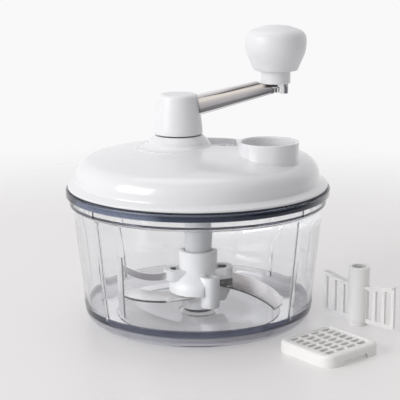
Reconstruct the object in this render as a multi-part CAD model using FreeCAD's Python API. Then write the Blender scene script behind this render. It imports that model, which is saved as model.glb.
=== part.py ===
"""Hand cranked food chopper with a mixing paddle and a grid insert.

Millimetres, +Z up. The origin is the centre of the bowl's underside, and the crank arm
points along +X at rest. The crank turns an internal ring gear under the lid, and that
turns a pinion on the drive shaft at twice the speed. The shaft's hexagonal end drives
the blade hub, which turns on a steel pin in the bowl floor.
"""
import FreeCAD, Part
import math
import os

os.makedirs("parts", exist_ok=True)
V = FreeCAD.Vector
UP = V(0, 0, 1)

# ---- Bowl -------------------------------------------------------------------------
rim_top = 97.4
rim_depth = 5.0
rim_overhang = 2.5
band_radius = 92.5
band_depth = 7.0
band_step = 2.1
wall_lean = 5.8
wall_thickness = 2.4
floor_thickness = 4.5
foot_corner = 11.5
foot_ring_width = 11.0
underside_recess = 1.2
centre_pad_radius = 14.0
ledge_height = 14.5
ledge_step = 0.5
rib_bearings = (-141.0, -39.0, 46.0, 134.0)
rib_radius = 3.2
rib_depth = 1.6
rib_margin = 7.0
lug_width = 4.5
lug_depth = 0.9
foot_pad_count = 4
foot_pad_length = 6.0
foot_pad_width = 3.6
foot_pad_depth = 1.4

# ---- Blade pin and its washer -----------------------------------------------------
blade_pin_radius = 3.0
blade_pin_seat = 1.6
pin_hex_gap = 3.2
pin_washer_radius = 10.6
pin_washer_thickness = 1.0

# ---- Lid --------------------------------------------------------------------------
gasket_thickness = 1.0
gasket_width = 4.4
flange_inset = 1.6
flange_edge = 1.5
flange_rise = 3.3
flange_root_gap = 1.4
flange_round = 0.7
lid_inset = 5.1
lid_thickness = 2.4
crown_rise = 30.1
crown_sphere = 345.0
shoulder_radius = 12.8
skirt_gap = 1.3
skirt_depth = 7.4
collar_x = 49.4
collar_y = -26.0
collar_radius = 21.1
collar_wall = 2.2
collar_rise = 6.0
collar_drop = 14.5
pocket_left = 3.0
pocket_right = 28.5
pocket_front = -6.0
pocket_back = 38.0
pocket_depth = 6.5
pocket_corner = 5.0
pocket_skin = 1.8
drip_x = 18.0
drip_y = 18.5
drip_radius = 1.9
drip_mouth = 3.6
drip_lip_radius = 5.2
drip_lip_rise = 1.7

# ---- Crank tower on the lid ---------------------------------------------------------
tower_rise = 6.9
tower_top_radius = 17.2
tower_shoulder_radius = 21.4
tower_shoulder_drop = 4.0
tower_base_radius = 26.4
flare_radius = 30.5
spindle_radius = 5.0
bush_wall = 3.0
bush_flange_radius = 9.6
bush_flange_thickness = 0.6
bush_length = 12.6

# ---- Gears --------------------------------------------------------------------------
gear_module = 1.5
pinion_teeth = 18
ring_teeth = 36
pressure_angle = 20.0
backlash = 0.16
gear_face = 10.0
gear_drop = 10.0
ring_rim = 3.2
ring_web = 3.5
ring_hub_radius = 9.0
gear_overlap = 0.6
axial_play = 0.2
running_gap = 0.05

# ---- Gear housing, cover and screws -------------------------------------------------
housing_gap = 1.3
housing_wall = 2.4
cover_thickness = 2.2
cover_gap = 2.0
screw_count = 4
screw_inset = 2.2
screw_boss_radius = 4.0
screw_radius = 1.4
screw_head_radius = 3.0
screw_head_height = 1.9
screw_length = 11.0

# ---- Drive shaft ----------------------------------------------------------------------
shaft_radius = 9.75
journal_radius = 6.0
pinion_seat_radius = 4.5
shaft_foot_gap = 0.4
hex_across = 9.0
hex_length = 19.0
shaft_bush_wall = 2.6
shaft_bush_flange = 2.6

# ---- Crank ----------------------------------------------------------------------------
crank_reach = 69.0
cap_gap = 0.9
cap_waist_inset = 1.7
cap_top_inset = 3.3
cap_height = 28.4
cap_wall = 2.3
cap_round = 3.0
plug_radius = 8.0
plug_thickness = 1.6
tab_drop = 13.3
tab_thickness = 6.0
tab_radius = 8.4
spindle_square = 7.6
arm_wall = 1.7
arm_back = 5.0
arm_front = -4.6
arm_root_offset = 12.1
arm_root_drop = 2.3
arm_root_height = 14.1
arm_root_length = 16.0
arm_rise = 9.8
arm_pad_thickness = 2.0
arm_pad_radius = 8.6
arm_pad_end = 8.0
arm_pad_blend = 4.0
arm_crest_setback = 13.0
arm_seat_setback = 10.9
arm_seat_drop = 1.5
arm_tip_height = 6.9
arm_flange_reach = 1.0
arm_trim = 8.0
eye_offset = 5.1
eye_radius = 4.1
fit_gap = 0.3

# ---- Knob -----------------------------------------------------------------------------
knob_pin_radius = 4.0
knob_pin_rivet = 2.6
knob_neck_radius = 10.5
knob_bottom_radius = 15.4
knob_belly_radius = 22.2
knob_belly_rise = 15.5
knob_belly_round = 24.0
knob_lift = 9.5
knob_height = 31.3
knob_crown_radius = 8.0
knob_crown_drop = 4.1
knob_crown_round = 14.0
knob_edge_round = 0.8
knob_shoulder_radius = 20.9
knob_shoulder_round = 7.0
knob_wall = 2.8
collar_plug_length = 11.0
clip_thickness = 1.2

# ---- Blade hub and blades ---------------------------------------------------------------
hub_radius = 14.0
hub_foot_radius = 12.4
hub_foot_round = 2.5
hub_play = 0.2
hub_height = 44.1
hub_foot_height = 6.3
hub_foot_taper = 3.0
hub_cup_depth = 6.0
hub_cup_wall = 3.0
bell_radius = 21.5
bell_rise = 13.5
bell_side_height = 7.3
bell_height = 15.0
bell_round = 9.0
bell_edge_x = 4.0
web_foot_x = 19.5
web_foot_rise = 4.5
web_side_rise = 14.0
web_half_width = 2.6
post_x = 8.4
post_y = -14.2
post_radius = 7.0
post_rise = 4.1
post_height = 23.2
post_hole_radius = 3.4
post_hole_depth = 9.0
bracket_reach = 25.2
bracket_width = 19.0
bracket_rise = 22.9
bracket_height = 7.6
bracket_turn = 9.0
bracket_wall = 4.2
bracket_leg = 8.0
blade_thickness = 1.4
blade_edge = 0.5
blade_bevel = 2.4
blade_tip_radius = 68.0
blade_tip_width = 13.5
blade_tip_angle = -38.5
blade_back_radius = 36.0
blade_back_angle = 42.0
blade_shoulder_radius = 28.0
blade_shoulder_angle = 61.0
blade_tang_proud = 1.4
blade_tang_angle = 96.0
blade_heel_radius = 17.6
blade_heel_angle = -11.0
blade_belly_radius = 37.5
blade_belly_angle = -21.5
blade_fall = 7.5
side_blade_rise = 17.9
low_blade_drop = 6.6
strip_thickness = 1.2
strip_height = 5.0
strip_start_x = -21.0
strip_start_y = -6.5
strip_sag = 4.0
scraper_x = -55.8
scraper_y = -25.0
scraper_width = 4.4
scraper_lean = 1.4
scraper_gap = 0.8
scraper_height = 46.2
scraper_joint_rise = 38.1

# ---- Mixing paddle, standing beside the bowl ---------------------------------------------
paddle_clear = 19.6
paddle_y = -26.0
paddle_heading = -46.0
paddle_tube_radius = 7.5
paddle_tube_wall = 2.2
paddle_height = 43.2
paddle_ring_heights = (14.0, 27.6)
paddle_ring_proud = 0.3
paddle_ring_height = 0.9
paddle_foot_height = 3.0
paddle_foot_inset = 0.7
paddle_span = 31.5
paddle_plate = 2.2
paddle_bottom = 2.6
paddle_top = 34.0
paddle_slope = 4.6
paddle_rail = 3.0
paddle_mullion = 2.8
paddle_flange = 5.0
paddle_windows = 3

# ---- Grid insert, lying in front of the bowl ----------------------------------------------
grid_clear = 24.9
grid_bearing = -43.48
grid_heading = 38.5
grid_side = 50.0
grid_height = 8.2
grid_corner = 8.5
grid_wall = 2.6
grid_edge_round = 2.2
grid_lattice = 1.6
grid_sunk = 0.6
grid_rim = 4.6
grid_columns = 4
grid_rows = 7
grid_bar = 1.9
grid_hole_corner = 1.1
notch_width = 23.0
notch_height = 3.4
notch_corner = 1.5

# ---- Heights and radii that follow from the sizes above -----------------------------------
rim_radius = band_radius + rim_overhang
rim_inner = band_radius - wall_thickness
wall_top_radius = band_radius - band_step
wall_slope = math.tan(math.radians(wall_lean))
band_bottom = rim_top - rim_depth - band_depth

flange_bottom = rim_top + gasket_thickness
flange_root = flange_bottom + flange_rise
flange_radius = rim_radius - flange_inset
skirt_outer = rim_inner - skirt_gap
lid_wall_radius = band_radius - lid_inset
crown_height = rim_top + crown_rise
collar_top = crown_height + collar_rise
collar_bottom = crown_height - collar_drop
pocket_floor = crown_height - pocket_depth
tower_top = crown_height + tower_rise
tower_shoulder_height = tower_top - tower_shoulder_drop
bush_radius = spindle_radius + bush_wall
bush_top = tower_top + bush_flange_thickness
bush_bottom = tower_top - bush_length

crank_x = -gear_module * (ring_teeth - pinion_teeth) / 2
ring_pitch = gear_module * ring_teeth / 2
pinion_pitch = gear_module * pinion_teeth / 2
ring_outer = ring_pitch + 1.25 * gear_module + ring_rim
web_top = crown_height - gear_drop
web_bottom = web_top - ring_web
pinion_top = web_bottom - gear_overlap
pinion_bottom = pinion_top - gear_face
cover_top = pinion_bottom - cover_gap
cover_bottom = cover_top - cover_thickness
housing_inner = ring_outer + housing_gap
housing_outer = housing_inner + housing_wall
screw_circle = housing_outer + screw_inset

cap_base_radius = tower_top_radius
cap_middle_radius = cap_base_radius - cap_waist_inset
cap_top_radius = cap_base_radius - cap_top_inset
cap_bottom = tower_top + cap_gap
cap_top = cap_bottom + cap_height
tab_bottom = cap_top - tab_drop
tab_top = tab_bottom + tab_thickness
knob_x = crank_x + crank_reach
arm_root_x = crank_x + arm_root_offset
arm_root_bottom = tab_bottom - arm_root_drop
arm_root_top = arm_root_bottom + arm_root_height
arm_crest = arm_root_top + arm_rise
arm_pad_top = arm_crest - arm_seat_drop
arm_tip_bottom = arm_pad_top - arm_tip_height
arm_flange_end = knob_x + arm_flange_reach
eye_x = knob_x + eye_offset
knob_bottom = arm_pad_top + knob_lift
knob_top = knob_bottom + knob_height

hub_bottom = floor_thickness + pin_washer_thickness + hub_play
hub_top = hub_bottom + hub_height
shaft_end = hub_top - hub_cup_depth + shaft_foot_gap
blade_pin_top = shaft_end - hex_length - pin_hex_gap
bell_bottom = hub_bottom + bell_rise
post_bottom = hub_bottom + post_rise
post_top = post_bottom + post_height
bracket_bottom = hub_bottom + bracket_rise
bracket_top = bracket_bottom + bracket_height
side_blade_height = hub_bottom + side_blade_rise
scraper_bottom = floor_thickness + scraper_gap
scraper_top = scraper_bottom + scraper_height
scraper_joint = scraper_bottom + scraper_joint_rise

paddle_x = rim_radius + paddle_clear
grid_x = (rim_radius + grid_clear) * math.cos(math.radians(grid_bearing))
grid_y = (rim_radius + grid_clear) * math.sin(math.radians(grid_bearing))


# ---- Helpers ------------------------------------------------------------------------------
def on_axis(shape, x, y):
    """Move a shape made on the Z axis to the vertical axis at x, y."""
    shape.translate(V(x, y, 0))
    return shape


def cylinder(radius, bottom, top, x=0.0, y=0.0):
    return Part.makeCylinder(radius, top - bottom, V(x, y, bottom))


def tube(outer, inner, bottom, top, x=0.0, y=0.0):
    return cylinder(outer, bottom, top, x, y).cut(cylinder(inner, bottom, top, x, y))


def box(x0, x1, y0, y1, z0, z1):
    return Part.makeBox(x1 - x0, y1 - y0, z1 - z0, V(x0, y0, z0))


def turned(corners, x=0.0, y=0.0):
    """Revolve an outline of (radius, height) or (radius, height, rounding) corners."""
    wire = rounded_wire(corners, lambda u, v: V(u, 0, v))
    solid = Part.Face(wire).revolve(V(0, 0, 0), UP, 360)
    return on_axis(solid, x, y)


def rounded_wire(corners, place):
    """Closed wire through (u, v) corners, each rounded by its third value if it has one.

    Where two roundings meet on one side, both are limited by that side's length.
    """
    count = len(corners)
    points = [V(corner[0], corner[1], 0) for corner in corners]
    halves = []
    reaches = []
    for i in range(count):
        back = (points[i - 1] - points[i]).normalize()
        ahead = (points[(i + 1) % count] - points[i]).normalize()
        radius = corners[i][2] if len(corners[i]) > 2 else 0.0
        halves.append(back.getAngle(ahead) / 2)
        reaches.append(radius / math.tan(halves[i]))
    for i in range(count):
        following = (i + 1) % count
        length = (points[following] - points[i]).Length
        wanted = reaches[i] + reaches[following]
        if wanted > length:
            reaches[i] *= length / wanted
            reaches[following] *= length / wanted
    starts = []
    ends = []
    middles = []
    for i in range(count):
        back = (points[i - 1] - points[i]).normalize()
        ahead = (points[(i + 1) % count] - points[i]).normalize()
        starts.append(points[i] + back * reaches[i])
        ends.append(points[i] + ahead * reaches[i])
        radius = reaches[i] * math.tan(halves[i])
        bisector = back + ahead
        if radius > 0:
            bisector.normalize()
        middles.append(points[i] + bisector * (radius / math.sin(halves[i]) - radius))
    edges = []
    for i in range(count):
        if (ends[i] - starts[i]).Length > 1e-6:
            arc = Part.Arc(place(starts[i].x, starts[i].y), place(middles[i].x, middles[i].y),
                           place(ends[i].x, ends[i].y))
            edges.append(arc.toShape())
        following = starts[(i + 1) % count]
        if (following - ends[i]).Length > 1e-6:
            edges.append(Part.makeLine(place(ends[i].x, ends[i].y),
                                       place(following.x, following.y)))
    return Part.Wire(edges)


def plate(corners, bottom, top):
    """Prism with a rounded plan outline."""
    face = Part.Face(rounded_wire(corners, lambda u, v: V(u, v, bottom)))
    return face.extrude(V(0, 0, top - bottom))


def side_plate(corners, front, back):
    """Prism with a rounded outline in the XZ plane, from y front to y back."""
    face = Part.Face(rounded_wire(corners, lambda u, v: V(u, front, v)))
    return face.extrude(V(0, back - front, 0))


def rounded_rectangle(x0, x1, y0, y1, radius):
    return [(x0, y0, radius), (x1, y0, radius), (x1, y1, radius), (x0, y1, radius)]


def at_bearings(shape, bearings, x=0.0, y=0.0):
    """Copies of a shape, turned about the vertical axis at x, y to each bearing."""
    copies = []
    for bearing in bearings:
        copy = shape.copy()
        copy.rotate(V(x, y, 0), UP, bearing)
        copies.append(copy)
    return copies


def around(shape, count, first=0.0, x=0.0, y=0.0):
    """Copies of a shape, evenly turned about the vertical axis at x, y."""
    return at_bearings(shape, [first + 360.0 * i / count for i in range(count)], x, y)


def export(name, shape):
    solids = shape.Solids
    result = solids[0] if len(solids) == 1 else Part.Compound(solids)
    result.exportStep("parts/" + name + ".step")
    print(name, len(solids), "solid(s)", round(result.Volume), "mm3", result.isValid())


# ---- Bowl ---------------------------------------------------------------------------------
def outer_wall_radius(z):
    return wall_top_radius - (band_bottom - z) * wall_slope


def inner_wall_radius(z):
    return outer_wall_radius(z) - wall_thickness


def bowl_outside():
    foot_outer = outer_wall_radius(0) + ledge_step
    foot_inner = foot_outer - foot_corner - foot_ring_width
    ledge = outer_wall_radius(ledge_height)
    return turned([
        (0, 0), (centre_pad_radius, 0), (centre_pad_radius + 1, underside_recess),
        (foot_inner, underside_recess), (foot_inner + 1, 0),
        (foot_outer, 0, foot_corner), (ledge + ledge_step, ledge_height, ledge_step),
        (ledge, ledge_height + ledge_step), (wall_top_radius, band_bottom, 1.0),
        (band_radius, band_bottom + 1, 0.6), (band_radius, rim_top - rim_depth),
        (rim_radius, rim_top - rim_depth, 0.8), (rim_radius, rim_top, 0.8), (0, rim_top)])


def bowl_cavity():
    step = band_bottom + 1
    above = rim_top + 1
    cavity = turned([
        (0, floor_thickness), (inner_wall_radius(floor_thickness), floor_thickness, 9.0),
        (inner_wall_radius(step), step, 1.0), (rim_inner, step + 2, 0.6),
        (rim_inner, above), (0, above)])
    low = floor_thickness + rib_margin
    high = band_bottom - 2
    inset = rib_radius - rib_depth
    foot = V(inner_wall_radius(low) + inset, 0, low)
    head = V(inner_wall_radius(high) + inset, 0, high)
    rib = Part.makeCylinder(rib_radius, (head - foot).Length, foot, head - foot)
    return cavity.cut(at_bearings(rib, rib_bearings))


def bowl_lugs():
    lug = box(band_radius - 0.5, band_radius + lug_depth, -lug_width / 2, lug_width / 2,
              band_bottom + 2, rim_top - rim_depth)
    return at_bearings(lug, rib_bearings)


def foot_pad_blank(grow=0.0):
    middle = outer_wall_radius(0) - foot_corner - foot_ring_width / 2
    half = foot_pad_width / 2 + grow
    length = foot_pad_length / 2 + grow
    pad = plate(rounded_rectangle(middle - half, middle + half, -length, length, half - 0.01),
                0, foot_pad_depth + grow)
    return around(pad, foot_pad_count, 180.0 / foot_pad_count)


def make_bowl():
    bowl = bowl_outside().fuse(bowl_lugs()).cut(bowl_cavity())
    bowl = bowl.cut(foot_pad_blank(0.02))
    seat = cylinder(blade_pin_radius, blade_pin_seat, floor_thickness + 1)
    return bowl.cut(seat)


def make_foot_pads():
    return Part.Compound(foot_pad_blank())


def make_blade_pin():
    return turned([(0, blade_pin_seat), (blade_pin_radius, blade_pin_seat),
                   (blade_pin_radius, blade_pin_top, 1.5), (0, blade_pin_top)])


def make_pin_washer():
    return tube(pin_washer_radius, blade_pin_radius + running_gap, floor_thickness,
                floor_thickness + pin_washer_thickness)


# ---- Lid ----------------------------------------------------------------------------------
def dome(radius, crown, sphere, shoulder, bottom):
    """Shallow spherical crown, rounded into a straight wall, as one solid."""
    centre_z = crown - sphere
    fillet_r = radius - shoulder
    fillet_z = centre_z + math.sqrt((sphere - shoulder) ** 2 - fillet_r ** 2)
    angle = math.atan2(fillet_z - centre_z, fillet_r)
    half_angle = (angle + math.pi / 2) / 2
    touch = V(sphere * math.cos(angle), 0, centre_z + sphere * math.sin(angle))
    middle = V(sphere * math.cos(half_angle), 0, centre_z + sphere * math.sin(half_angle))
    bend = V(fillet_r + shoulder * math.cos(angle / 2), 0,
             fillet_z + shoulder * math.sin(angle / 2))
    side = V(radius, 0, fillet_z)
    edges = [
        Part.makeLine(V(0, 0, bottom), V(0, 0, crown)),
        Part.Arc(V(0, 0, crown), middle, touch).toShape(),
        Part.Arc(touch, bend, side).toShape(),
        Part.makeLine(side, V(radius, 0, bottom)),
        Part.makeLine(V(radius, 0, bottom), V(0, 0, bottom))]
    return Part.Face(Part.Wire(edges)).revolve(V(0, 0, 0), UP, 360)


def outer_dome():
    return dome(lid_wall_radius, crown_height, crown_sphere, shoulder_radius, flange_bottom)


def inner_dome(bottom):
    return dome(lid_wall_radius - lid_thickness, crown_height - lid_thickness,
                crown_sphere - lid_thickness, shoulder_radius - lid_thickness, bottom)


def lid_flange():
    inner = lid_wall_radius - lid_thickness - 1
    return turned([
        (inner, flange_bottom), (flange_radius, flange_bottom, 0.4),
        (flange_radius, flange_bottom + flange_edge, flange_round),
        (lid_wall_radius + flange_root_gap, flange_root),
        (lid_wall_radius + 0.3, flange_root + 0.5, 1.0),
        (lid_wall_radius - 0.1, flange_root + 2.5), (inner, flange_root + 2.5)])


def lid_skirt():
    return tube(skirt_outer, skirt_outer - lid_thickness, flange_bottom - skirt_depth,
                flange_bottom + 1)


def tower_flare():
    """Concave ring that blends the tower into the crown."""
    low = crown_height - 4
    join_r = tower_shoulder_radius + 0.8
    join_z = tower_shoulder_height - 1.2
    edge_z = crown_height - 1.1
    arc = Part.Arc(V(join_r, 0, join_z), V(join_r + 2.6, 0, edge_z + 0.7),
                   V(flare_radius, 0, edge_z - 0.4))
    edges = [
        arc.toShape(),
        Part.makeLine(V(flare_radius, 0, edge_z - 0.4), V(flare_radius, 0, low)),
        Part.makeLine(V(flare_radius, 0, low), V(join_r, 0, low)),
        Part.makeLine(V(join_r, 0, low), V(join_r, 0, join_z))]
    flare = Part.Face(Part.Wire(edges)).revolve(V(0, 0, 0), UP, 360)
    return on_axis(flare, crank_x, 0)


def tower_outside():
    return turned([
        (0, web_top + 1.7), (tower_base_radius, web_top + 1.7),
        (tower_base_radius, pocket_floor), (tower_shoulder_radius, tower_shoulder_height, 6.0),
        (tower_top_radius, tower_top, 0.5), (0, tower_top)], crank_x)


def tower_inside():
    ceiling = tower_top - lid_thickness
    sleeve = bush_radius + lid_thickness
    hollow = turned([
        (sleeve, web_top - 5), (sleeve, ceiling), (tower_top_radius - lid_thickness, ceiling),
        (tower_shoulder_radius - lid_thickness, tower_shoulder_height - lid_thickness),
        (tower_base_radius - lid_thickness, web_top), (tower_base_radius - lid_thickness,
                                                      web_top - 5)], crank_x)
    bore = cylinder(bush_radius, web_top - 5, tower_top + 1, crank_x)
    under = cylinder(sleeve + 0.1, web_top - 5, bush_bottom, crank_x)
    return [hollow, bore, under]


def pocket_plan(grow, corner):
    return rounded_rectangle(pocket_left - grow, pocket_right + grow, pocket_front - grow,
                             pocket_back + grow, corner)


def gear_housing():
    return tube(housing_outer, housing_inner, cover_top, crown_height, crank_x)


def screw_places():
    places = []
    for i in range(screw_count):
        angle = math.radians(45 + 360.0 * i / screw_count)
        places.append((crank_x + screw_circle * math.cos(angle),
                       screw_circle * math.sin(angle)))
    return places


def make_lid_shell():
    outside = outer_dome()
    shell = outside.cut(inner_dome(flange_bottom - 1))
    inner_parts = [gear_housing()]
    for x, y in screw_places():
        inner_parts.append(cylinder(screw_boss_radius, cover_top, crown_height, x, y))
    inner_parts.append(plate(pocket_plan(pocket_skin, pocket_corner + pocket_skin),
                             pocket_floor - pocket_skin, crown_height))
    inner_parts = [piece.common(outside) for piece in inner_parts]
    shell = shell.fuse(inner_parts + [tower_flare()])
    pocket = plate(pocket_plan(0, pocket_corner), pocket_floor, crown_height + 5)
    shell = shell.cut(pocket)
    collar = cylinder(collar_radius, collar_bottom, collar_top, collar_x, collar_y)
    lip_top = pocket_floor + drip_lip_rise
    lip = turned([
        (0, pocket_floor - pocket_skin / 2), (drip_lip_radius, pocket_floor - pocket_skin / 2),
        (drip_lip_radius, lip_top, 0.8), (0, lip_top)], drip_x, drip_y)
    shell = shell.fuse([tower_outside(), collar, lip, lid_flange(), lid_skirt()])
    collar_bore = turned([
        (0, collar_bottom - 1), (collar_radius - collar_wall, collar_bottom - 1),
        (collar_radius - collar_wall, collar_top - 0.8),
        (collar_radius - collar_wall + 0.8, collar_top), (collar_radius, collar_top + 1),
        (0, collar_top + 1)], collar_x, collar_y)
    drip = turned([
        (0, pocket_floor - 10), (drip_radius, pocket_floor - 10), (drip_radius, pocket_floor - 1),
        (drip_mouth, lip_top), (drip_mouth, lip_top + 1), (0, lip_top + 1)], drip_x, drip_y)
    cuts = tower_inside() + [collar_bore, drip, gear_space()]
    for x, y in screw_places():
        cuts.append(cylinder(screw_radius, cover_top - 1, cover_top + screw_length, x, y))
    return shell.cut(cuts)


def gear_space():
    """Room for the ring gear inside the housing wall."""
    return cylinder(housing_inner, cover_top - 1, web_top + 1.2, crank_x)


def make_lid_gasket():
    outer = skirt_outer + 0.4 + gasket_width
    return turned([
        (skirt_outer + 0.4, rim_top), (outer, rim_top, 0.3), (outer, flange_bottom, 0.3),
        (skirt_outer + 0.4, flange_bottom)])


def make_gear_cover():
    cover = cylinder(housing_outer, cover_bottom, cover_top, crank_x)
    ears = []
    holes = []
    for x, y in screw_places():
        ears.append(cylinder(screw_boss_radius, cover_bottom, cover_top, x, y))
        holes.append(cylinder(screw_radius, cover_bottom - 1, cover_top + 1, x, y))
    lip = tube(housing_inner - fit_gap, housing_inner - fit_gap - 1.6, cover_top - 0.5,
               cover_top + 1.4, crank_x)
    cover = cover.fuse(ears + [lip])
    holes.append(cylinder(journal_radius + shaft_bush_wall, cover_bottom - 1, cover_top + 1))
    return cover.cut(holes)


def make_cover_screws():
    screws = []
    for x, y in screw_places():
        head = turned([
            (0, cover_bottom - screw_head_height),
            (screw_head_radius, cover_bottom - screw_head_height, 1.0),
            (screw_head_radius, cover_bottom), (0, cover_bottom)], x, y)
        shank = cylinder(screw_radius - 0.02, cover_bottom - 0.5,
                         cover_bottom + screw_length, x, y)
        slot = box(x - 0.4, x + 0.4, y - 2, y + 2, cover_bottom - screw_head_height - 1,
                   cover_bottom - screw_head_height + 0.8)
        screws.append(head.fuse(shank).cut([slot, on_axis(slot_cross(), x, y)]))
    return Part.Compound(screws)


def slot_cross():
    return box(-2, 2, -0.4, 0.4, cover_bottom - screw_head_height - 1,
               cover_bottom - screw_head_height + 0.8)


def make_spindle_bush():
    body = tube(bush_radius, spindle_radius + running_gap, bush_bottom, tower_top, crank_x)
    flange = tube(bush_flange_radius, spindle_radius + running_gap, tower_top, bush_top,
                  crank_x)
    return body.fuse(flange).removeSplitter()


def make_shaft_bush():
    inner = journal_radius + running_gap
    bottom = cover_bottom - 0.6
    top = pinion_bottom - axial_play / 2
    body = tube(journal_radius + shaft_bush_wall, inner, bottom, top)
    flange = tube(journal_radius + shaft_bush_wall + shaft_bush_flange, inner, cover_top, top)
    return body.fuse(flange).removeSplitter()


# ---- Gears --------------------------------------------------------------------------------
def flank_angle(pitch_radius, radius):
    """Turn of an involute flank from the pitch circle out to the given radius."""
    base = pitch_radius * math.cos(math.radians(pressure_angle))

    def involute(at):
        slope = math.sqrt(max((at / base) ** 2 - 1, 0))
        return slope - math.atan(slope)

    return involute(max(radius, base)) - involute(pitch_radius)


def tooth_form(teeth, inner_radius, outer_radius, thickness):
    """Plan wire of a gear whose teeth have the given thickness on the pitch circle."""
    pitch_radius = gear_module * teeth / 2
    pitch_half = thickness / 2 / pitch_radius
    step = 2 * math.pi / teeth
    middle_radius = (inner_radius + outer_radius) / 2
    half = {}
    for radius in (inner_radius, middle_radius, outer_radius):
        half[radius] = pitch_half - flank_angle(pitch_radius, radius)

    def at(radius, angle):
        return V(radius * math.cos(angle), radius * math.sin(angle), 0)

    edges = []
    for i in range(teeth):
        centre = i * step
        rise = [at(r, centre - half[r]) for r in (inner_radius, middle_radius, outer_radius)]
        fall = [at(r, centre + half[r]) for r in (outer_radius, middle_radius, inner_radius)]
        tip = at(outer_radius, centre)
        following = at(inner_radius, centre + step - half[inner_radius])
        root = at(inner_radius, centre + step / 2)
        edges.append(Part.Arc(rise[0], rise[1], rise[2]).toShape())
        edges.append(Part.Arc(rise[2], tip, fall[0]).toShape())
        edges.append(Part.Arc(fall[0], fall[1], fall[2]).toShape())
        edges.append(Part.Arc(fall[2], root, following).toShape())
    return Part.Wire(edges)


def gear_body(teeth, inner_radius, outer_radius, thickness, bottom, top):
    face = Part.Face(tooth_form(teeth, inner_radius, outer_radius, thickness))
    solid = face.extrude(V(0, 0, top - bottom))
    solid.translate(V(0, 0, bottom))
    return solid


def make_pinion():
    half_pitch = math.pi * gear_module / 2
    pinion = gear_body(pinion_teeth, pinion_pitch - 1.25 * gear_module,
                       pinion_pitch + gear_module, half_pitch - backlash, pinion_bottom,
                       pinion_top)
    bore = shaft_seat(pinion_bottom - 1, pinion_top + 1, 0.02)
    head_room = cylinder(screw_head_radius + 1.7, pinion_top - 1.8, pinion_top + 1)
    return pinion.cut([bore, head_room])


def make_ring_gear():
    half_pitch = math.pi * gear_module / 2
    space = gear_body(ring_teeth, ring_pitch - gear_module, ring_pitch + 1.25 * gear_module,
                      half_pitch + backlash, pinion_bottom - 1, web_bottom)
    space = on_axis(space, crank_x, 0)
    hub_top = bush_bottom - axial_play
    blank = turned([
        (0, pinion_bottom + 0.6), (ring_outer, pinion_bottom + 0.6, 0.4),
        (ring_outer, web_top, 1.2), (ring_hub_radius, web_top, 1.0),
        (ring_hub_radius, hub_top), (0, hub_top)], crank_x)
    seat = spindle_flange(0.02)
    hole = spindle_key(web_bottom - 1, hub_top + 1, 0.02)
    return blank.cut([space, seat, hole])


# ---- Spindle, crank cap and arm -------------------------------------------------------------
def spindle_flange(grow):
    return cylinder(ring_hub_radius - 1 + grow, web_bottom - grow * 5, web_bottom + 1.8 + grow,
                    crank_x)


def spindle_key(bottom, top, grow):
    """Round bar with two flats."""
    radius = spindle_radius + grow
    flat = spindle_square / 2 + grow
    bar = cylinder(radius, bottom, top, crank_x)
    return bar.common(box(crank_x - flat, crank_x + flat, -radius - 1, radius + 1, bottom,
                          top))


def spindle_square_end(bottom, top, grow):
    half = spindle_square / 2 + grow
    square = box(crank_x - half, crank_x + half, -half, half, bottom, top)
    return square.common(cylinder(spindle_radius + grow, bottom, top, crank_x))


def make_crank_spindle():
    keyed_top = bush_bottom - axial_play
    flange = cylinder(ring_hub_radius - 1, web_bottom, web_bottom + 1.8, crank_x)
    keyed = spindle_key(web_bottom, keyed_top, 0)
    round_part = cylinder(spindle_radius, keyed_top, tab_bottom, crank_x)
    square = spindle_square_end(tab_bottom, tab_top - 0.2, 0)
    spindle = flange.fuse([keyed, round_part, square]).removeSplitter()
    return spindle.cut(cylinder(screw_radius, tab_top - screw_length, tab_top, crank_x))


def cap_outline(shrink):
    """Outside of the crank cap, or of its hollow when shrunk by the wall."""
    bottom = cap_bottom - (1 if shrink else 0)
    middle = cap_bottom + cap_height * 0.6
    return turned([
        (0, bottom), (cap_base_radius - shrink, bottom, 0 if shrink else 0.6),
        (cap_base_radius - 0.2 - shrink, cap_bottom + 5),
        (cap_middle_radius - shrink, middle, 30.0),
        (cap_top_radius - shrink, cap_top - shrink, cap_round), (0, cap_top - shrink)],
        crank_x)


def make_crank_cap():
    cap = cap_outline(0).cut(cap_outline(cap_wall))
    sleeve_outer = spindle_radius + fit_gap + cap_wall
    sleeve_bottom = bush_top + axial_play
    sleeve = cylinder(sleeve_outer, sleeve_bottom, tab_bottom - fit_gap / 2, crank_x)
    rib = box(crank_x + sleeve_outer - 1, crank_x + cap_base_radius, -0.8, 0.8,
              cap_bottom + 1, tab_bottom - 2)
    ribs = [piece.common(cap_outline(0)) for piece in around(rib, 4, 45, crank_x)]
    cap = cap.fuse([sleeve] + ribs)
    window = side_plate(arm_side(fit_gap), arm_front - fit_gap, arm_back + fit_gap)
    window = window.fuse(arm_bridge(fit_gap))
    right_half = box(arm_root_x - 2 * cap_wall / 2, crank_x + cap_base_radius + cap_wall,
                     -cap_base_radius, cap_base_radius, cap_bottom, cap_top)
    cap = cap.cut([window.common(right_half), plug_shape(0.02),
                   cylinder(spindle_radius + fit_gap, sleeve_bottom - 1, tab_bottom, crank_x)])
    return cap


def plug_shape(grow):
    head = cylinder(plug_radius + grow, cap_top - plug_thickness - grow, cap_top + grow,
                    crank_x)
    spigot = tube(plug_radius - 1.2 + grow, plug_radius - 2.8, cap_top - cap_wall - 1,
                  cap_top - plug_thickness, crank_x)
    opening = cylinder(plug_radius - 1.2 + grow, cap_top - cap_wall - 1,
                       cap_top - plug_thickness, crank_x)
    return head.fuse(opening if grow else spigot)


def make_cap_plug():
    return plug_shape(0).removeSplitter()


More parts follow.
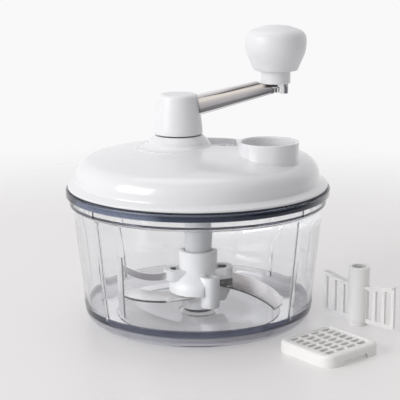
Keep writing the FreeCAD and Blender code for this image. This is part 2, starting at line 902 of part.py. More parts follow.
def arm_side(grow):
    """Side outline of the arm, with its crest before the lower seat of the knob."""
    return [
        (arm_root_x, arm_root_bottom - grow), (arm_flange_end, arm_tip_bottom - grow, 3.0),
        (eye_x, arm_tip_bottom - grow), (eye_x, arm_pad_top + grow),
        (knob_x - arm_seat_setback, arm_pad_top + grow, 0.8),
        (knob_x - arm_crest_setback, arm_crest + grow, 2.0), (arm_root_x, arm_root_top + grow)]


def arm_bridge(grow):
    """Bar that joins the arm's channel to the tab on the spindle."""
    return box(crank_x, arm_root_x + 1 + grow, arm_front - grow, arm_back + grow,
               tab_bottom - grow, tab_top + grow)


def arm_pocket():
    """Hollow of the channel, open to the front, between the two flanges."""
    wall = arm_wall
    return [
        (arm_root_x - 1, arm_root_bottom + wall), (arm_flange_end, arm_tip_bottom + wall, 3.0),
        (eye_x + 5, arm_tip_bottom + wall), (eye_x + 5, arm_pad_top - arm_pad_thickness),
        (knob_x - arm_crest_setback, arm_pad_top - arm_pad_thickness, 6.0),
        (arm_root_x - 1, arm_root_top - wall)]


def make_crank_arm():
    web_front = arm_back - arm_wall
    arm = side_plate(arm_side(0), arm_front, arm_back)
    arm = arm.cut(side_plate(arm_pocket(), arm_front - 1, web_front))
    pad_end = knob_x - arm_pad_radius
    straight_end = arm_root_x + arm_root_length
    far_front = arm_front - arm_trim
    beyond = eye_x + arm_trim
    slant = plate([(arm_root_x, far_front), (beyond, far_front), (beyond, web_front),
                   (arm_flange_end, web_front, 2.0), (straight_end, arm_front),
                   (arm_root_x, arm_front)],
                  arm_root_bottom - arm_trim, arm_pad_top - arm_pad_thickness)
    arm = arm.cut(slant)
    above = plate([(arm_root_x, far_front), (pad_end + arm_pad_blend, far_front),
                   (pad_end, (arm_front + arm_back) / 2), (straight_end, arm_front),
                   (arm_root_x, arm_front)],
                  arm_root_bottom - arm_trim, arm_crest + arm_trim)
    arm = arm.cut(above)
    pad = plate(rounded_rectangle(pad_end, knob_x + arm_pad_end, arm_front, arm_back, 3.0),
                arm_pad_top - arm_pad_thickness, arm_pad_top)
    eye = cylinder(eye_radius, arm_tip_bottom, arm_pad_top, eye_x, arm_back - eye_radius)
    tab = cylinder(tab_radius, tab_bottom, tab_top, crank_x)
    arm = arm.fuse([pad, eye, tab, arm_bridge(0)])
    rivet_hole = cylinder(knob_pin_rivet, arm_pad_top - 5, arm_pad_top + 1, knob_x)
    rivet_room = cylinder(knob_pin_rivet + 1.1, arm_pad_top - 8,
                          arm_pad_top - arm_pad_thickness, knob_x)
    square = spindle_square_end(tab_bottom - 1, tab_top + 1, 0.02)
    groove = tube(eye_radius + 1, eye_radius - 0.5, arm_tip_bottom - 1,
                  arm_pad_top - arm_pad_thickness, eye_x, arm_back - eye_radius)
    front_only = box(eye_x - eye_radius - 1, eye_x - eye_radius * 0.6, arm_front - arm_trim,
                     web_front, arm_root_bottom, knob_bottom)
    groove = groove.common(front_only)
    return arm.cut([rivet_hole, rivet_room, square, groove])


def make_arm_screw():
    washer = cylinder(screw_head_radius + 2.2, tab_top, tab_top + 0.8, crank_x)
    head = turned([
        (0, tab_top + 0.8), (screw_head_radius, tab_top + 0.8),
        (screw_head_radius, tab_top + 0.8 + screw_head_height, 1.0),
        (0, tab_top + 0.8 + screw_head_height)], crank_x)
    shank = cylinder(screw_radius - 0.02, tab_top - screw_length + 1, tab_top + 1, crank_x)
    return washer.fuse([head, shank])


# ---- Knob -----------------------------------------------------------------------------------
def knob_outline():
    """Outline of the knob, from its bottom to the middle of its top."""
    return [
        (0, knob_bottom), (knob_bottom_radius, knob_bottom, knob_edge_round),
        (knob_belly_radius, knob_bottom + knob_belly_rise, knob_belly_round),
        (knob_shoulder_radius, knob_top - knob_crown_drop, knob_shoulder_round),
        (knob_crown_radius, knob_top, knob_crown_round), (0, knob_top)]


def collar_plug_top():
    return knob_bottom + collar_plug_length


def make_knob_grip():
    grip = turned(knob_outline())
    seat = cylinder(knob_neck_radius + 0.02, knob_bottom - 1, collar_plug_top())
    hollow = turned([
        (0, collar_plug_top() - 1), (knob_neck_radius - 2.0, collar_plug_top() - 1),
        (knob_neck_radius + 2.0, collar_plug_top() + 6, 2.0),
        (knob_neck_radius + 2.0, knob_top - 2 * knob_wall, 4.0), (0, knob_top - 2 * knob_wall)])
    return on_axis(grip.cut([seat, hollow]), knob_x, 0)


def make_knob_collar():
    bottom = arm_pad_top + fit_gap
    bore = knob_pin_radius + running_gap
    return turned([
        (bore, bottom), (knob_neck_radius, bottom, 0.6), (knob_neck_radius, collar_plug_top()),
        (bore, collar_plug_top())], knob_x)


def make_knob_pin():
    groove_bottom = collar_plug_top() + axial_play
    groove_top = groove_bottom + clip_thickness
    under = arm_pad_top - arm_pad_thickness
    return turned([
        (0, under - 1.0), (knob_pin_rivet + 0.9, under - 1.0, 0.4),
        (knob_pin_rivet + 0.9, under), (knob_pin_rivet - 0.02, under),
        (knob_pin_rivet - 0.02, arm_pad_top), (knob_pin_radius, arm_pad_top),
        (knob_pin_radius, groove_bottom), (knob_pin_radius - 0.8, groove_bottom),
        (knob_pin_radius - 0.8, groove_top), (knob_pin_radius, groove_top),
        (knob_pin_radius, groove_top + 3, 0.8), (0, groove_top + 3)], knob_x)


def make_pin_clip():
    bottom = collar_plug_top() + axial_play
    clip = tube(knob_pin_radius + 1.8, knob_pin_radius - 0.78, bottom,
                bottom + clip_thickness, knob_x)
    mouth = box(knob_x, knob_x + 10, -1.6, 1.6, bottom - 1, bottom + clip_thickness + 1)
    return clip.cut(mouth)


# ---- Drive shaft ------------------------------------------------------------------------------
def shaft_seat(bottom, top, grow):
    """Round seat with one flat, for the pinion."""
    radius = pinion_seat_radius + grow
    seat = cylinder(radius, bottom, top)
    return seat.common(box(-radius, radius * 0.72, -radius, radius, bottom, top))


def hexagon(across, bottom, top):
    corner = across / math.sqrt(3)
    points = []
    for i in range(6):
        angle = math.radians(60 * i)
        points.append((corner * math.cos(angle), corner * math.sin(angle)))
    return plate(points, bottom, top)


def shaft_shoulder():
    return cover_bottom - 0.6 - axial_play


def make_drive_shaft():
    barrel = turned([
        (0, shaft_end), (shaft_radius, shaft_end, 1.0), (shaft_radius, shaft_shoulder(), 1.0),
        (0, shaft_shoulder())])
    journal = cylinder(journal_radius, shaft_shoulder() - 1, pinion_bottom)
    seat = shaft_seat(pinion_bottom - 0.5, pinion_top - 1.8, 0)
    end = hexagon(hex_across, shaft_end - hex_length, shaft_end + 1)
    shaft = barrel.fuse([journal, seat, end]).removeSplitter()
    return shaft.cut(cylinder(screw_radius, pinion_top - screw_length, pinion_top))


def make_pinion_screw():
    bottom = pinion_top - 1.8
    head = turned([
        (0, bottom), (screw_head_radius + 1.4, bottom), (screw_head_radius + 1.4, bottom + 1.4,
                                                        0.7), (0, bottom + 1.4)])
    shank = cylinder(screw_radius - 0.02, pinion_top - screw_length + 1, bottom + 0.5)
    return head.fuse(shank)


# ---- Blade hub and blades -----------------------------------------------------------------------
def bracket_plan(grow):
    half = bracket_width / 2 + grow
    reach = bracket_reach + grow
    return rounded_rectangle(-reach, reach, -half, half, half * 0.8)


def make_bracket():
    """Oval ring round the hub that carries the side blade and the scraper's arm."""
    ring = plate(bracket_plan(0), bracket_bottom, bracket_top)
    ring = ring.cut(plate(bracket_plan(-bracket_wall), bracket_bottom - 1, bracket_top + 1))
    leg_right = bracket_reach - 1.0
    leg = plate(rounded_rectangle(leg_right - bracket_wall, leg_right, -bracket_leg,
                                  bracket_leg, 1.0), hub_bottom, bracket_bottom + 1)
    ring = ring.fuse(leg)
    ring.rotate(V(0, 0, 0), UP, bracket_turn)
    reach = 2 * bracket_reach
    below = box(-reach, reach, -reach, reach, -reach, blade_thickness / 2)
    return ring.cut(lay_blade(below))


def half_bell():
    """Skirt that flares out of the hub's left side over the low blade."""
    bell = turned([
        (0, bell_bottom), (bell_radius, bell_bottom, 0.6),
        (bell_radius, bell_bottom + bell_side_height, bell_round),
        (hub_radius, bell_bottom + bell_height), (0, bell_bottom + bell_height)])
    left_half = box(-2 * bell_radius, bell_edge_x, -2 * bell_radius, 2 * bell_radius,
                    hub_bottom, hub_top)
    return bell.common(left_half)


def blade_web():
    """Upright web from the hub's foot that carries the side blade from below."""
    inside = hub_radius - 2
    outside = bracket_reach - 1.0
    web = side_plate([
        (inside, hub_bottom + web_foot_rise), (web_foot_x, hub_bottom + web_foot_rise, 1.5),
        (outside, hub_bottom + web_side_rise, 3.0), (outside, side_blade_height),
        (inside, side_blade_height)], -web_half_width, web_half_width)
    web.rotate(V(0, 0, 0), UP, bracket_turn)
    return web


def make_blade_hub():
    body = turned([
        (0, hub_bottom), (hub_foot_radius, hub_bottom, hub_foot_round),
        (hub_foot_radius, hub_bottom + hub_foot_height),
        (hub_radius, hub_bottom + hub_foot_height + hub_foot_taper), (hub_radius, hub_top, 1.0),
        (0, hub_top)])
    post = turned([
        (0, post_bottom), (post_radius, post_bottom, 1.6), (post_radius, post_top, 0.6),
        (0, post_top)], post_x, post_y)
    hub = body.fuse([half_bell(), post, make_bracket(), blade_web()])
    cup = hub_radius - hub_cup_wall
    cup_floor = hub_top - hub_cup_depth
    cuts = [
        cylinder(cup, cup_floor, hub_top + 1),
        hexagon(hex_across + 0.3, shaft_end - hex_length - 0.6, cup_floor + 1),
        cylinder(blade_pin_radius + running_gap, hub_bottom - 1, blade_pin_top + 0.6),
        cylinder(post_hole_radius, post_top - post_hole_depth, post_top + 1, post_x, post_y)]
    return hub.cut(cuts + [side_blade_shape(), low_blade_shape(), strip_shape()])


def polar(radius, angle, z=0.0):
    return V(radius * math.cos(math.radians(angle)), radius * math.sin(math.radians(angle)), z)


def sickle():
    """Flat sickle blade whose hollow edge is sharp, with its tang inside the hub."""
    heel = polar(blade_heel_radius, blade_heel_angle)
    belly = polar(blade_belly_radius, blade_belly_angle)
    tip = polar(blade_tip_radius, blade_tip_angle)
    corner_turn = math.degrees(blade_tip_width / blade_tip_radius)
    corner = polar(blade_tip_radius - 1, blade_tip_angle + corner_turn)
    middle_angle = (blade_back_angle + blade_tip_angle + corner_turn) / 2
    middle = polar((blade_back_radius + blade_tip_radius) / 2 - 2, middle_angle)
    back = polar(blade_back_radius, blade_back_angle)
    shoulder = polar(blade_shoulder_radius, blade_shoulder_angle)
    tang = polar(hub_radius + blade_tang_proud, blade_tang_angle)
    inner = polar(hub_radius - 5, blade_tang_angle)
    root = polar(hub_radius - 5, blade_heel_angle + 15)
    edges = [
        Part.Arc(heel, belly, tip).toShape(),
        Part.makeLine(tip, corner),
        Part.Arc(corner, middle, back).toShape(),
        Part.Arc(back, shoulder, tang).toShape(),
        Part.makeLine(tang, inner),
        Part.makeLine(inner, root),
        Part.makeLine(root, heel)]
    blade = Part.Face(Part.Wire(edges)).extrude(V(0, 0, blade_thickness))
    keen = [edge for edge in blade.Edges if is_keen(edge, heel, tip)]
    return blade.makeChamfer(blade_thickness - blade_edge, blade_bevel, keen)


def is_keen(edge, heel, tip):
    """True for the top edge that runs from the heel to the tip."""
    if len(edge.Vertexes) < 2:
        return False
    ends = [vertex.Point for vertex in edge.Vertexes]
    lift = V(0, 0, blade_thickness)
    near_heel = min((end - heel - lift).Length for end in ends) < 0.01
    near_tip = min((end - tip - lift).Length for end in ends) < 0.01
    return near_heel and near_tip


def lay_blade(shape):
    """Tilt a shape down towards the blade's tip and lift it to the blade's height."""
    across = polar(1, blade_tip_angle + 90)
    fall = math.degrees(math.asin(blade_fall / blade_tip_radius))
    shape.rotate(V(0, 0, 0), across, fall)
    shape.translate(V(0, 0, side_blade_height))
    return shape


def side_blade_shape():
    return lay_blade(sickle())


def low_blade_shape():
    blade = side_blade_shape()
    blade.rotate(V(0, 0, 0), UP, 180)
    blade.translate(V(0, 0, -low_blade_drop))
    return blade


def strip_shape():
    """Steel strip on edge that rises from the bracket to the scraper."""
    bracket_middle = (bracket_bottom + bracket_top) / 2
    start = V(strip_start_x, strip_start_y, bracket_middle)
    end = V(scraper_x + scraper_width / 2, scraper_y, scraper_joint)
    bend = (start + end) * 0.5 - V(0, 0.6, strip_sag)
    half = V(0, 0, strip_height / 2)
    low = Part.Arc(start - half, bend - half, end - half).toShape()
    high = Part.Arc(start + half, bend + half, end + half).toShape()
    return Part.makeRuledSurface(low, high).extrude(V(0, -strip_thickness, 0))


def make_scraper_arm():
    return strip_shape().cut(make_scraper())


def make_scraper():
    """Upright scraper, leaning a little, with one bevelled edge."""
    half = scraper_width / 2
    outline = [
        (scraper_x + scraper_lean - half, scraper_bottom, 0.4),
        (scraper_x + scraper_lean + half, scraper_bottom, 0.4),
        (scraper_x + half, scraper_top - 1, 1.0), (scraper_x - half, scraper_top, 1.0)]
    blade = side_plate(outline, scraper_y - strip_thickness, scraper_y + strip_thickness / 2)
    return blade


# ---- Mixing paddle --------------------------------------------------------------------------------
def paddle_wing():
    """One wing, along +X from the tube's axis, with its windows and its top flange."""
    start = paddle_tube_radius - 1.0
    inner_top = paddle_top - paddle_slope
    half = paddle_plate / 2
    wing = side_plate([
        (start, paddle_bottom), (paddle_span, paddle_bottom, 2.5),
        (paddle_span, paddle_top, 1.2), (start, inner_top)], -half, half)
    first = paddle_tube_radius + 0.3
    width = (paddle_span - first) / paddle_windows - paddle_mullion
    slope = paddle_slope / (paddle_span - start)
    windows = []
    for i in range(paddle_windows):
        left = first + i * (width + paddle_mullion)
        right = left + width
        top = inner_top - paddle_rail
        windows.append(side_plate([
            (left, paddle_bottom + paddle_rail, 0.6), (right, paddle_bottom + paddle_rail, 0.6),
            (right, top + (right - start) * slope, 0.6),
            (left, top + (left - start) * slope, 0.6)], -paddle_flange, paddle_flange))
    flange = side_plate([
        (start, inner_top - 1.4), (paddle_span - 0.6, paddle_top - 1.4),
        (paddle_span - 0.6, paddle_top, 0.6), (start, inner_top)],
        -paddle_flange / 2, paddle_flange / 2)
    return wing.cut(windows).fuse(flange)


def make_mixing_paddle():
    foot_radius = paddle_tube_radius - paddle_foot_inset
    tube_body = turned([
        (0, 0), (foot_radius, 0, 0.4), (foot_radius, paddle_foot_height),
        (paddle_tube_radius, paddle_foot_height + 0.5), (paddle_tube_radius, paddle_height, 0.5),
        (0, paddle_height)])
    rings = []
    for z in paddle_ring_heights:
        rings.append(cylinder(paddle_tube_radius + paddle_ring_proud,
                              z - paddle_ring_height / 2, z + paddle_ring_height / 2))
    paddle = tube_body.fuse(rings + around(paddle_wing(), 2, paddle_heading))
    bore = cylinder(paddle_tube_radius - paddle_tube_wall, 4.0, paddle_height + 1)
    foot = cylinder(blade_pin_radius + fit_gap, -1, 5)
    return on_axis(paddle.cut([bore, foot]), paddle_x, paddle_y)


# ---- Grid insert ----------------------------------------------------------------------------------
def make_grid_insert():
    half = grid_side / 2
    block = plate(rounded_rectangle(-half, half, -half, half, grid_corner), 0, grid_height)
    top_edges = [edge for edge in block.Edges if edge.BoundBox.ZMin > grid_height - 1e-6]
    block = block.makeFillet(grid_edge_round, top_edges)
    lattice_top = grid_height - grid_sunk
    lattice_bottom = lattice_top - grid_lattice
    inside = half - grid_wall
    under = plate(rounded_rectangle(-inside, inside, -inside, inside, grid_corner - grid_wall),
                  -1, lattice_bottom)
    field = half - grid_rim
    sunk = plate(rounded_rectangle(-field, field, -field, field, grid_corner - grid_rim),
                 lattice_top, grid_height + 1)
    cuts = [under, sunk] + grid_holes(field, lattice_bottom, lattice_top)
    notch = side_plate([
        (-notch_width / 2, -1), (notch_width / 2, -1), (notch_width / 2, notch_height, notch_corner),
        (-notch_width / 2, notch_height, notch_corner)], -half - 1, -inside + 1)
    notch.rotate(V(0, 0, 0), UP, 90)
    grid = block.cut(cuts + [notch])
    grid.rotate(V(0, 0, 0), UP, grid_heading - 90)
    return on_axis(grid, grid_x, grid_y)


def grid_holes(field, bottom, top):
    """Rows of slots that leave bars of one width between them."""
    wide = (2 * field - (grid_columns + 1) * grid_bar) / grid_columns
    deep = (2 * field - (grid_rows + 1) * grid_bar) / grid_rows
    holes = []
    for column in range(grid_columns):
        y0 = -field + grid_bar + column * (wide + grid_bar)
        for row in range(grid_rows):
            x0 = -field + grid_bar + row * (deep + grid_bar)
            holes.append(plate(rounded_rectangle(x0, x0 + deep, y0, y0 + wide,
                                                 grid_hole_corner), bottom - 1, top + 1))
    return holes


# ---- All nodes --------------------------------------------------------------------------------------
PIECES = {
    "bowl": make_bowl,
    "foot_pads": make_foot_pads,
    "blade_pin": make_blade_pin,
    "pin_washer": make_pin_washer,
    "lid_shell": make_lid_shell,
    "lid_gasket": make_lid_gasket,
    "gear_cover": make_gear_cover,
    "cover_screws": make_cover_screws,
    "spindle_bush": make_spindle_bush,
    "shaft_bush": make_shaft_bush,
    "ring_gear": make_ring_gear,
    "pinion": make_pinion,
    "pinion_screw": make_pinion_screw,
    "drive_shaft": make_drive_shaft,
    "crank_spindle": make_crank_spindle,
    "crank_cap": make_crank_cap,
    "cap_plug": make_cap_plug,
    "crank_arm": make_crank_arm,
    "arm_screw": make_arm_screw,
    "knob_grip": make_knob_grip,
    "knob_collar": make_knob_collar,
    "knob_pin": make_knob_pin,
    "pin_clip": make_pin_clip,
    "blade_hub": make_blade_hub,
    "side_blade": side_blade_shape,
    "low_blade": low_blade_shape,
    "scraper_arm": make_scraper_arm,
    "scraper": make_scraper,
    "mixing_paddle": make_mixing_paddle,
    "grid_insert": make_grid_insert,
}

for name, make in PIECES.items():
    export(name, make())
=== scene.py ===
# %% [markdown]
# # A hand cranked food chopper
# The chopper is a clear bowl with a white lid, a crank arm with a palm knob, and a blade
# unit that the crank turns through gears under the lid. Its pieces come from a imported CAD
# model at their real size. They could be modelled again here, but their shapes are right
# already, so this lesson keeps them and gives every surface its finish.

# %% Load the frame
import math
import bpy
from mathutils import Matrix, Vector


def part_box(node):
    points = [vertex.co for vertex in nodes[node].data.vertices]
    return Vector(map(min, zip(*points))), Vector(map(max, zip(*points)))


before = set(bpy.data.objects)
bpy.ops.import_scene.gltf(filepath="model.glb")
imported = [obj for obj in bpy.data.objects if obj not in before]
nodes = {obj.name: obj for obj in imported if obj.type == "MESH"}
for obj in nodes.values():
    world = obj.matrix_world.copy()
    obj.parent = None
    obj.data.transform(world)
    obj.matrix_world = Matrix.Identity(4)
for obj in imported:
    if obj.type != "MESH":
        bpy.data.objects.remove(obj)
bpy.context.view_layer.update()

MM = 0.001

# %% [markdown]
# ## Round walls that shade as round
# CAD hands over loose triangles. Each node gets a Weld modifier, which joins them, smooth
# faces, and an Edge Split modifier, which keeps every edge crisp that turns by more than
# the angle of a moulded corner. Modifiers leave the mesh itself as it was.

# %% Smooth the round walls
CRISP_ANGLE = math.radians(28)
WELD_REACH = 0.004 * MM


def shade_round(piece):
    for face in piece.data.polygons:
        face.use_smooth = True
    weld = piece.modifiers.new("weld", "WELD")
    weld.merge_threshold = WELD_REACH
    crisp = piece.modifiers.new("crisp edges", "EDGE_SPLIT")
    crisp.split_angle = CRISP_ANGLE


for piece in nodes.values():
    shade_round(piece)
print("smoothed", len(nodes), "nodes")

# %% [markdown]
# ## The seal: a plain finish
# Each finish is one Principled shader, and numbers that are the same all over are set on
# its sockets. The seal under the lid and the washer on the blades' pin are the simplest:
# navy rubber, dark, neither glossy nor quite dull.

# %% Dark seal
SEAL_NAVY = (0.020, 0.024, 0.038)


def shader_of(finish):
    return finish.node_tree.nodes["Principled BSDF"]


def new_finish(name, colour, roughness, **sockets):
    """A material whose Principled shader has these constant sockets."""
    finish = bpy.data.materials.new(name)
    finish.use_nodes = True
    shader = shader_of(finish)
    shader.inputs["Base Color"].default_value = (*colour, 1)
    shader.inputs["Roughness"].default_value = roughness
    for socket, value in sockets.items():
        shader.inputs[socket.replace("_", " ")].default_value = value
    return finish


def wear(finish, *node_names):
    """Give this finish to CAD nodes."""
    for name in node_names:
        slots = nodes[name].material_slots
        for slot in slots:
            slot.material = finish
        if not slots:
            nodes[name].data.materials.append(finish)
    print(finish.name, "on", ", ".join(node_names))


dark_seal = new_finish("dark seal", SEAL_NAVY, roughness=0.42)
wear(dark_seal, "lid_gasket", "pin_washer")

# %% [markdown]
# ## Grain that stays on the piece
# Rubber has a fine grain. Modelling it would take millions of faces, so a bump gives it,
# which only tilts the light. Its pattern is a noise read on Object coordinates. They are
# fixed to the piece, so the grain neither slides nor stretches when the piece moves.

# %% Grain of the seal
SEAL_GRAIN = {"scale": 1400, "detail": 2}
SEAL_GRAIN_DEPTH = 0.01 * MM


def add_node(owner, kind, **settings):
    """A new node in the tree of a finish or of the world."""
    node = owner.node_tree.nodes.new(kind)
    for setting, value in settings.items():
        setattr(node, setting, value)
    return node


def join(owner, source, target):
    owner.node_tree.links.new(source, target)


def noise(finish, scale, detail, stretch=(1, 1, 1), turn=(0, 0, 0)):
    """Noise on the piece's own coordinates, stretched along its axes."""
    place = add_node(finish, "ShaderNodeTexCoord")
    mapping = add_node(finish, "ShaderNodeMapping")
    mapping.inputs["Scale"].default_value = stretch
    mapping.inputs["Rotation"].default_value = turn
    pattern = add_node(finish, "ShaderNodeTexNoise")
    pattern.inputs["Scale"].default_value = scale
    pattern.inputs["Detail"].default_value = detail
    join(finish, place.outputs["Object"], mapping.inputs["Vector"])
    join(finish, mapping.outputs["Vector"], pattern.inputs["Vector"])
    return pattern.outputs["Fac"]


def relief(finish, patterns):
    """Bumps laid one over another: pairs of a pattern and its depth in metres."""
    normal = None
    for pattern, depth in patterns:
        bump = add_node(finish, "ShaderNodeBump")
        bump.inputs["Distance"].default_value = depth
        join(finish, pattern, bump.inputs["Height"])
        if normal is not None:
            join(finish, normal, bump.inputs["Normal"])
        normal = bump.outputs["Normal"]
    join(finish, normal, shader_of(finish).inputs["Normal"])


relief(dark_seal, [(noise(dark_seal, **SEAL_GRAIN), SEAL_GRAIN_DEPTH)])
print("grain of the seal", round(SEAL_GRAIN_DEPTH / MM, 3), "mm deep")

# %% [markdown]
# ## White moulded plastic
# The lid is ABS from a polished mould. Such a surface is glossy but never a perfect mirror:
# it has a fine orange peel, the wall sinks a little over its ribs, and handling leaves the
# gloss uneven. Three noises of different size show that. The crank's cap, the knob, the hub
# and the loose accessories come from duller moulds, so they get rougher versions.

# %% Moulded finish
NOISE_LOW = 0.3
NOISE_HIGH = 0.7
SINK_MARKS = {"scale": 14, "detail": 2}
HANDLING = {"scale": 45, "detail": 5}
ORANGE_PEEL = {"scale": 950, "detail": 2}
SINK_DEPTH = 0.06 * MM
PEEL_DEPTH = 0.006 * MM
COAT_ROUGHNESS = 0.06


def vary(finish, pattern, low, high):
    """A noise, most of which lies from NOISE_LOW to NOISE_HIGH, turned into other values."""
    spread = add_node(finish, "ShaderNodeMapRange")
    spread.inputs["From Min"].default_value = NOISE_LOW
    spread.inputs["From Max"].default_value = NOISE_HIGH
    spread.inputs["To Min"].default_value = low
    spread.inputs["To Max"].default_value = high
    join(finish, pattern, spread.inputs["Value"])
    return spread.outputs["Result"]


def colour_from(mix):
    """The colour output of a Mix node, which has one output for each kind of value."""
    return next(output for output in mix.outputs if output.type == "RGBA")


def blend_colours(owner, amount, low, high):
    mix = add_node(owner, "ShaderNodeMix", data_type="RGBA")
    mix.inputs["A"].default_value = (*low, 1)
    mix.inputs["B"].default_value = (*high, 1)
    join(owner, amount, mix.inputs["Factor"])
    return colour_from(mix)


def moulded(name, colour, shade, gloss, dull, coat, peel=PEEL_DEPTH):
    finish = new_finish(name, colour, gloss, Coat_Weight=coat, Coat_Roughness=COAT_ROUGHNESS)
    shader = shader_of(finish)
    sink = noise(finish, **SINK_MARKS)
    handling = noise(finish, **HANDLING)
    orange_peel = noise(finish, **ORANGE_PEEL)
    join(finish, blend_colours(finish, sink, colour, shade), shader.inputs["Base Color"])
    join(finish, vary(finish, handling, gloss, dull), shader.inputs["Roughness"])
    relief(finish, [(sink, SINK_DEPTH), (orange_peel, peel)])
    return finish


print("moulded finish, orange peel", round(PEEL_DEPTH / MM, 4), "mm deep")

# %% White plastics
SHELL_WHITE = (0.80, 0.80, 0.82)
SHELL_SHADE = (0.77, 0.77, 0.79)
GRIP_WHITE = (0.82, 0.82, 0.84)
GRIP_SHADE = (0.80, 0.80, 0.82)
HUB_WHITE = (0.82, 0.82, 0.82)
HUB_SHADE = (0.79, 0.79, 0.79)
ACCESSORY_WHITE = (0.89, 0.88, 0.87)
ACCESSORY_SHADE = (0.87, 0.86, 0.85)
SATIN_PEEL_DEPTH = 0.01 * MM

white_shell = moulded("white shell", SHELL_WHITE, SHELL_SHADE, gloss=0.16, dull=0.25, coat=0.35)
white_grip = moulded("white grip", GRIP_WHITE, GRIP_SHADE, gloss=0.34, dull=0.44, coat=0.05)
white_hub = moulded("white hub", HUB_WHITE, HUB_SHADE, gloss=0.26, dull=0.38, coat=0.08)
white_accessory = moulded("white accessory", ACCESSORY_WHITE, ACCESSORY_SHADE, gloss=0.30,
                          dull=0.44, coat=0.0, peel=SATIN_PEEL_DEPTH)
wear(white_shell, "lid_shell", "gear_cover")
wear(white_grip, "knob_grip", "knob_collar", "crank_cap", "cap_plug")
wear(white_hub, "blade_hub")
wear(white_accessory, "mixing_paddle", "grid_insert")

# %% [markdown]
# ## Grey shaft and inner plastics
# The drive shaft is light grey plastic with a satin surface. The gears and bushes under the
# lid are of the creamy, waxy kind that runs without oil. The same moulded finish serves for
# all of them: only its colours, its gloss and the depth of its peel change.

# %% Grey shaft and inner plastics
SHAFT_GREY = (0.63, 0.645, 0.655)
SHAFT_SHADE = (0.59, 0.605, 0.615)
GEAR_CREAM = (0.72, 0.71, 0.66)
GEAR_SHADE = (0.68, 0.67, 0.62)
BUSH_CREAM = (0.62, 0.61, 0.57)
BUSH_SHADE = (0.57, 0.56, 0.52)
WAXY_PEEL_DEPTH = 0.02 * MM

grey_shaft = moulded("grey shaft", SHAFT_GREY, SHAFT_SHADE, gloss=0.26, dull=0.38, coat=0.1)
gear_plastic = moulded("gear plastic", GEAR_CREAM, GEAR_SHADE, gloss=0.42, dull=0.55,
                       coat=0.0, peel=WAXY_PEEL_DEPTH)
bush_plastic = moulded("bush plastic", BUSH_CREAM, BUSH_SHADE, gloss=0.45, dull=0.6,
                       coat=0.0, peel=WAXY_PEEL_DEPTH)
wear(grey_shaft, "drive_shaft")
wear(gear_plastic, "ring_gear", "pinion")
wear(bush_plastic, "spindle_bush", "shaft_bush")

# %% [markdown]
# ## Steels
# The arm and the strips are rolled, the blades are ground, and pins and screws are turned,
# so each steel has fine lines in the direction of its tool. Stretching a noise draws such
# lines: its scale is low along them and high across them.

# %% Arm, strips and pins
BRUSHING = {"scale": 1.0, "detail": 4}
STEEL_CLOUD = {"scale": 30, "detail": 3}
BRUSH_DEPTH = 0.004 * MM
ARM_SLOPE = math.radians(14)
ARM_BRIGHT = (1.0, 1.0, 1.0)
ARM_SHADE = (0.90, 0.90, 0.90)
STRIP_GREY = (0.78, 0.76, 0.76)
STRIP_SHADE = (0.70, 0.68, 0.68)
SCRAPER_PALE = (0.93, 0.91, 0.91)
SCRAPER_SHADE = (0.84, 0.82, 0.82)
TURNED_GREY = (0.58, 0.58, 0.58)
TURNED_SHADE = (0.50, 0.50, 0.50)


def steel(name, colour, shade, bright, dull, stretch, turn=(0, 0, 0), polish=1.0):
    """Brushed steel; below 1, polish leaves part of it matt."""
    finish = new_finish(name, colour, bright, Metallic=polish)
    shader = shader_of(finish)
    brushing = noise(finish, stretch=stretch, turn=turn, **BRUSHING)
    cloud = noise(finish, **STEEL_CLOUD)
    join(finish, blend_colours(finish, brushing, colour, shade), shader.inputs["Base Color"])
    join(finish, vary(finish, cloud, bright, dull), shader.inputs["Roughness"])
    relief(finish, [(brushing, BRUSH_DEPTH)])
    return finish


arm_steel = steel("arm steel", ARM_BRIGHT, ARM_SHADE, bright=0.16, dull=0.26,
                  stretch=(25, 900, 1900), turn=(0, -ARM_SLOPE, 0))
strip_steel = steel("strip steel", STRIP_GREY, STRIP_SHADE, bright=0.18, dull=0.28,
                    stretch=(60, 60, 900))
scraper_steel = steel("scraper steel", SCRAPER_PALE, SCRAPER_SHADE, bright=0.18, dull=0.28,
                      stretch=(900, 900, 60), polish=0.45)
turned_steel = steel("turned steel", TURNED_GREY, TURNED_SHADE, bright=0.22, dull=0.34,
                     stretch=(80, 80, 2600))
wear(arm_steel, "crank_arm")
wear(strip_steel, "scraper_arm")
wear(scraper_steel, "scraper")
wear(turned_steel, "blade_pin", "cover_screws", "pinion_screw", "crank_spindle",
     "arm_screw", "knob_pin", "pin_clip")

# %% Blades
SIDE_ROOT = (0.42, 0.385, 0.385)
LOW_ROOT = (0.72, 0.69, 0.68)
GROOVE_SHARE = 0.88


def blade_steel(name, root, polish):
    """Ground steel whose grinding lines are a little darker than its colour at the root."""
    groove = tuple(GROOVE_SHARE * value for value in root)
    return steel(name, root, groove, bright=0.20, dull=0.32, stretch=(700, 60, 700),
                 polish=polish)


side_steel = blade_steel("side blade steel", SIDE_ROOT, polish=0.8)
low_steel = blade_steel("low blade steel", LOW_ROOT, polish=0.6)
wear(side_steel, "side_blade")
wear(low_steel, "low_blade")

# %% [markdown]
# ## Reflections painted by place
# Near the hub a blade mirrors dark things, and further out it mirrors the white lid. The
# room of this scene is too bare to give that, so a painted reflection changes the colour
# itself: a ramp follows a point's distance from the axis of the blades, and the distance is
# the same in any pose.

# %% Where the blades turn pale
BOWL_AXIS = (0, 0)
PALE_START = 34 * MM
PALE_END = 48 * MM


def coordinates(finish):
    """X, Y and Z of a point on the piece."""
    place = add_node(finish, "ShaderNodeTexCoord")
    split = add_node(finish, "ShaderNodeSeparateXYZ")
    join(finish, place.outputs["Object"], split.inputs["Vector"])
    return split.outputs


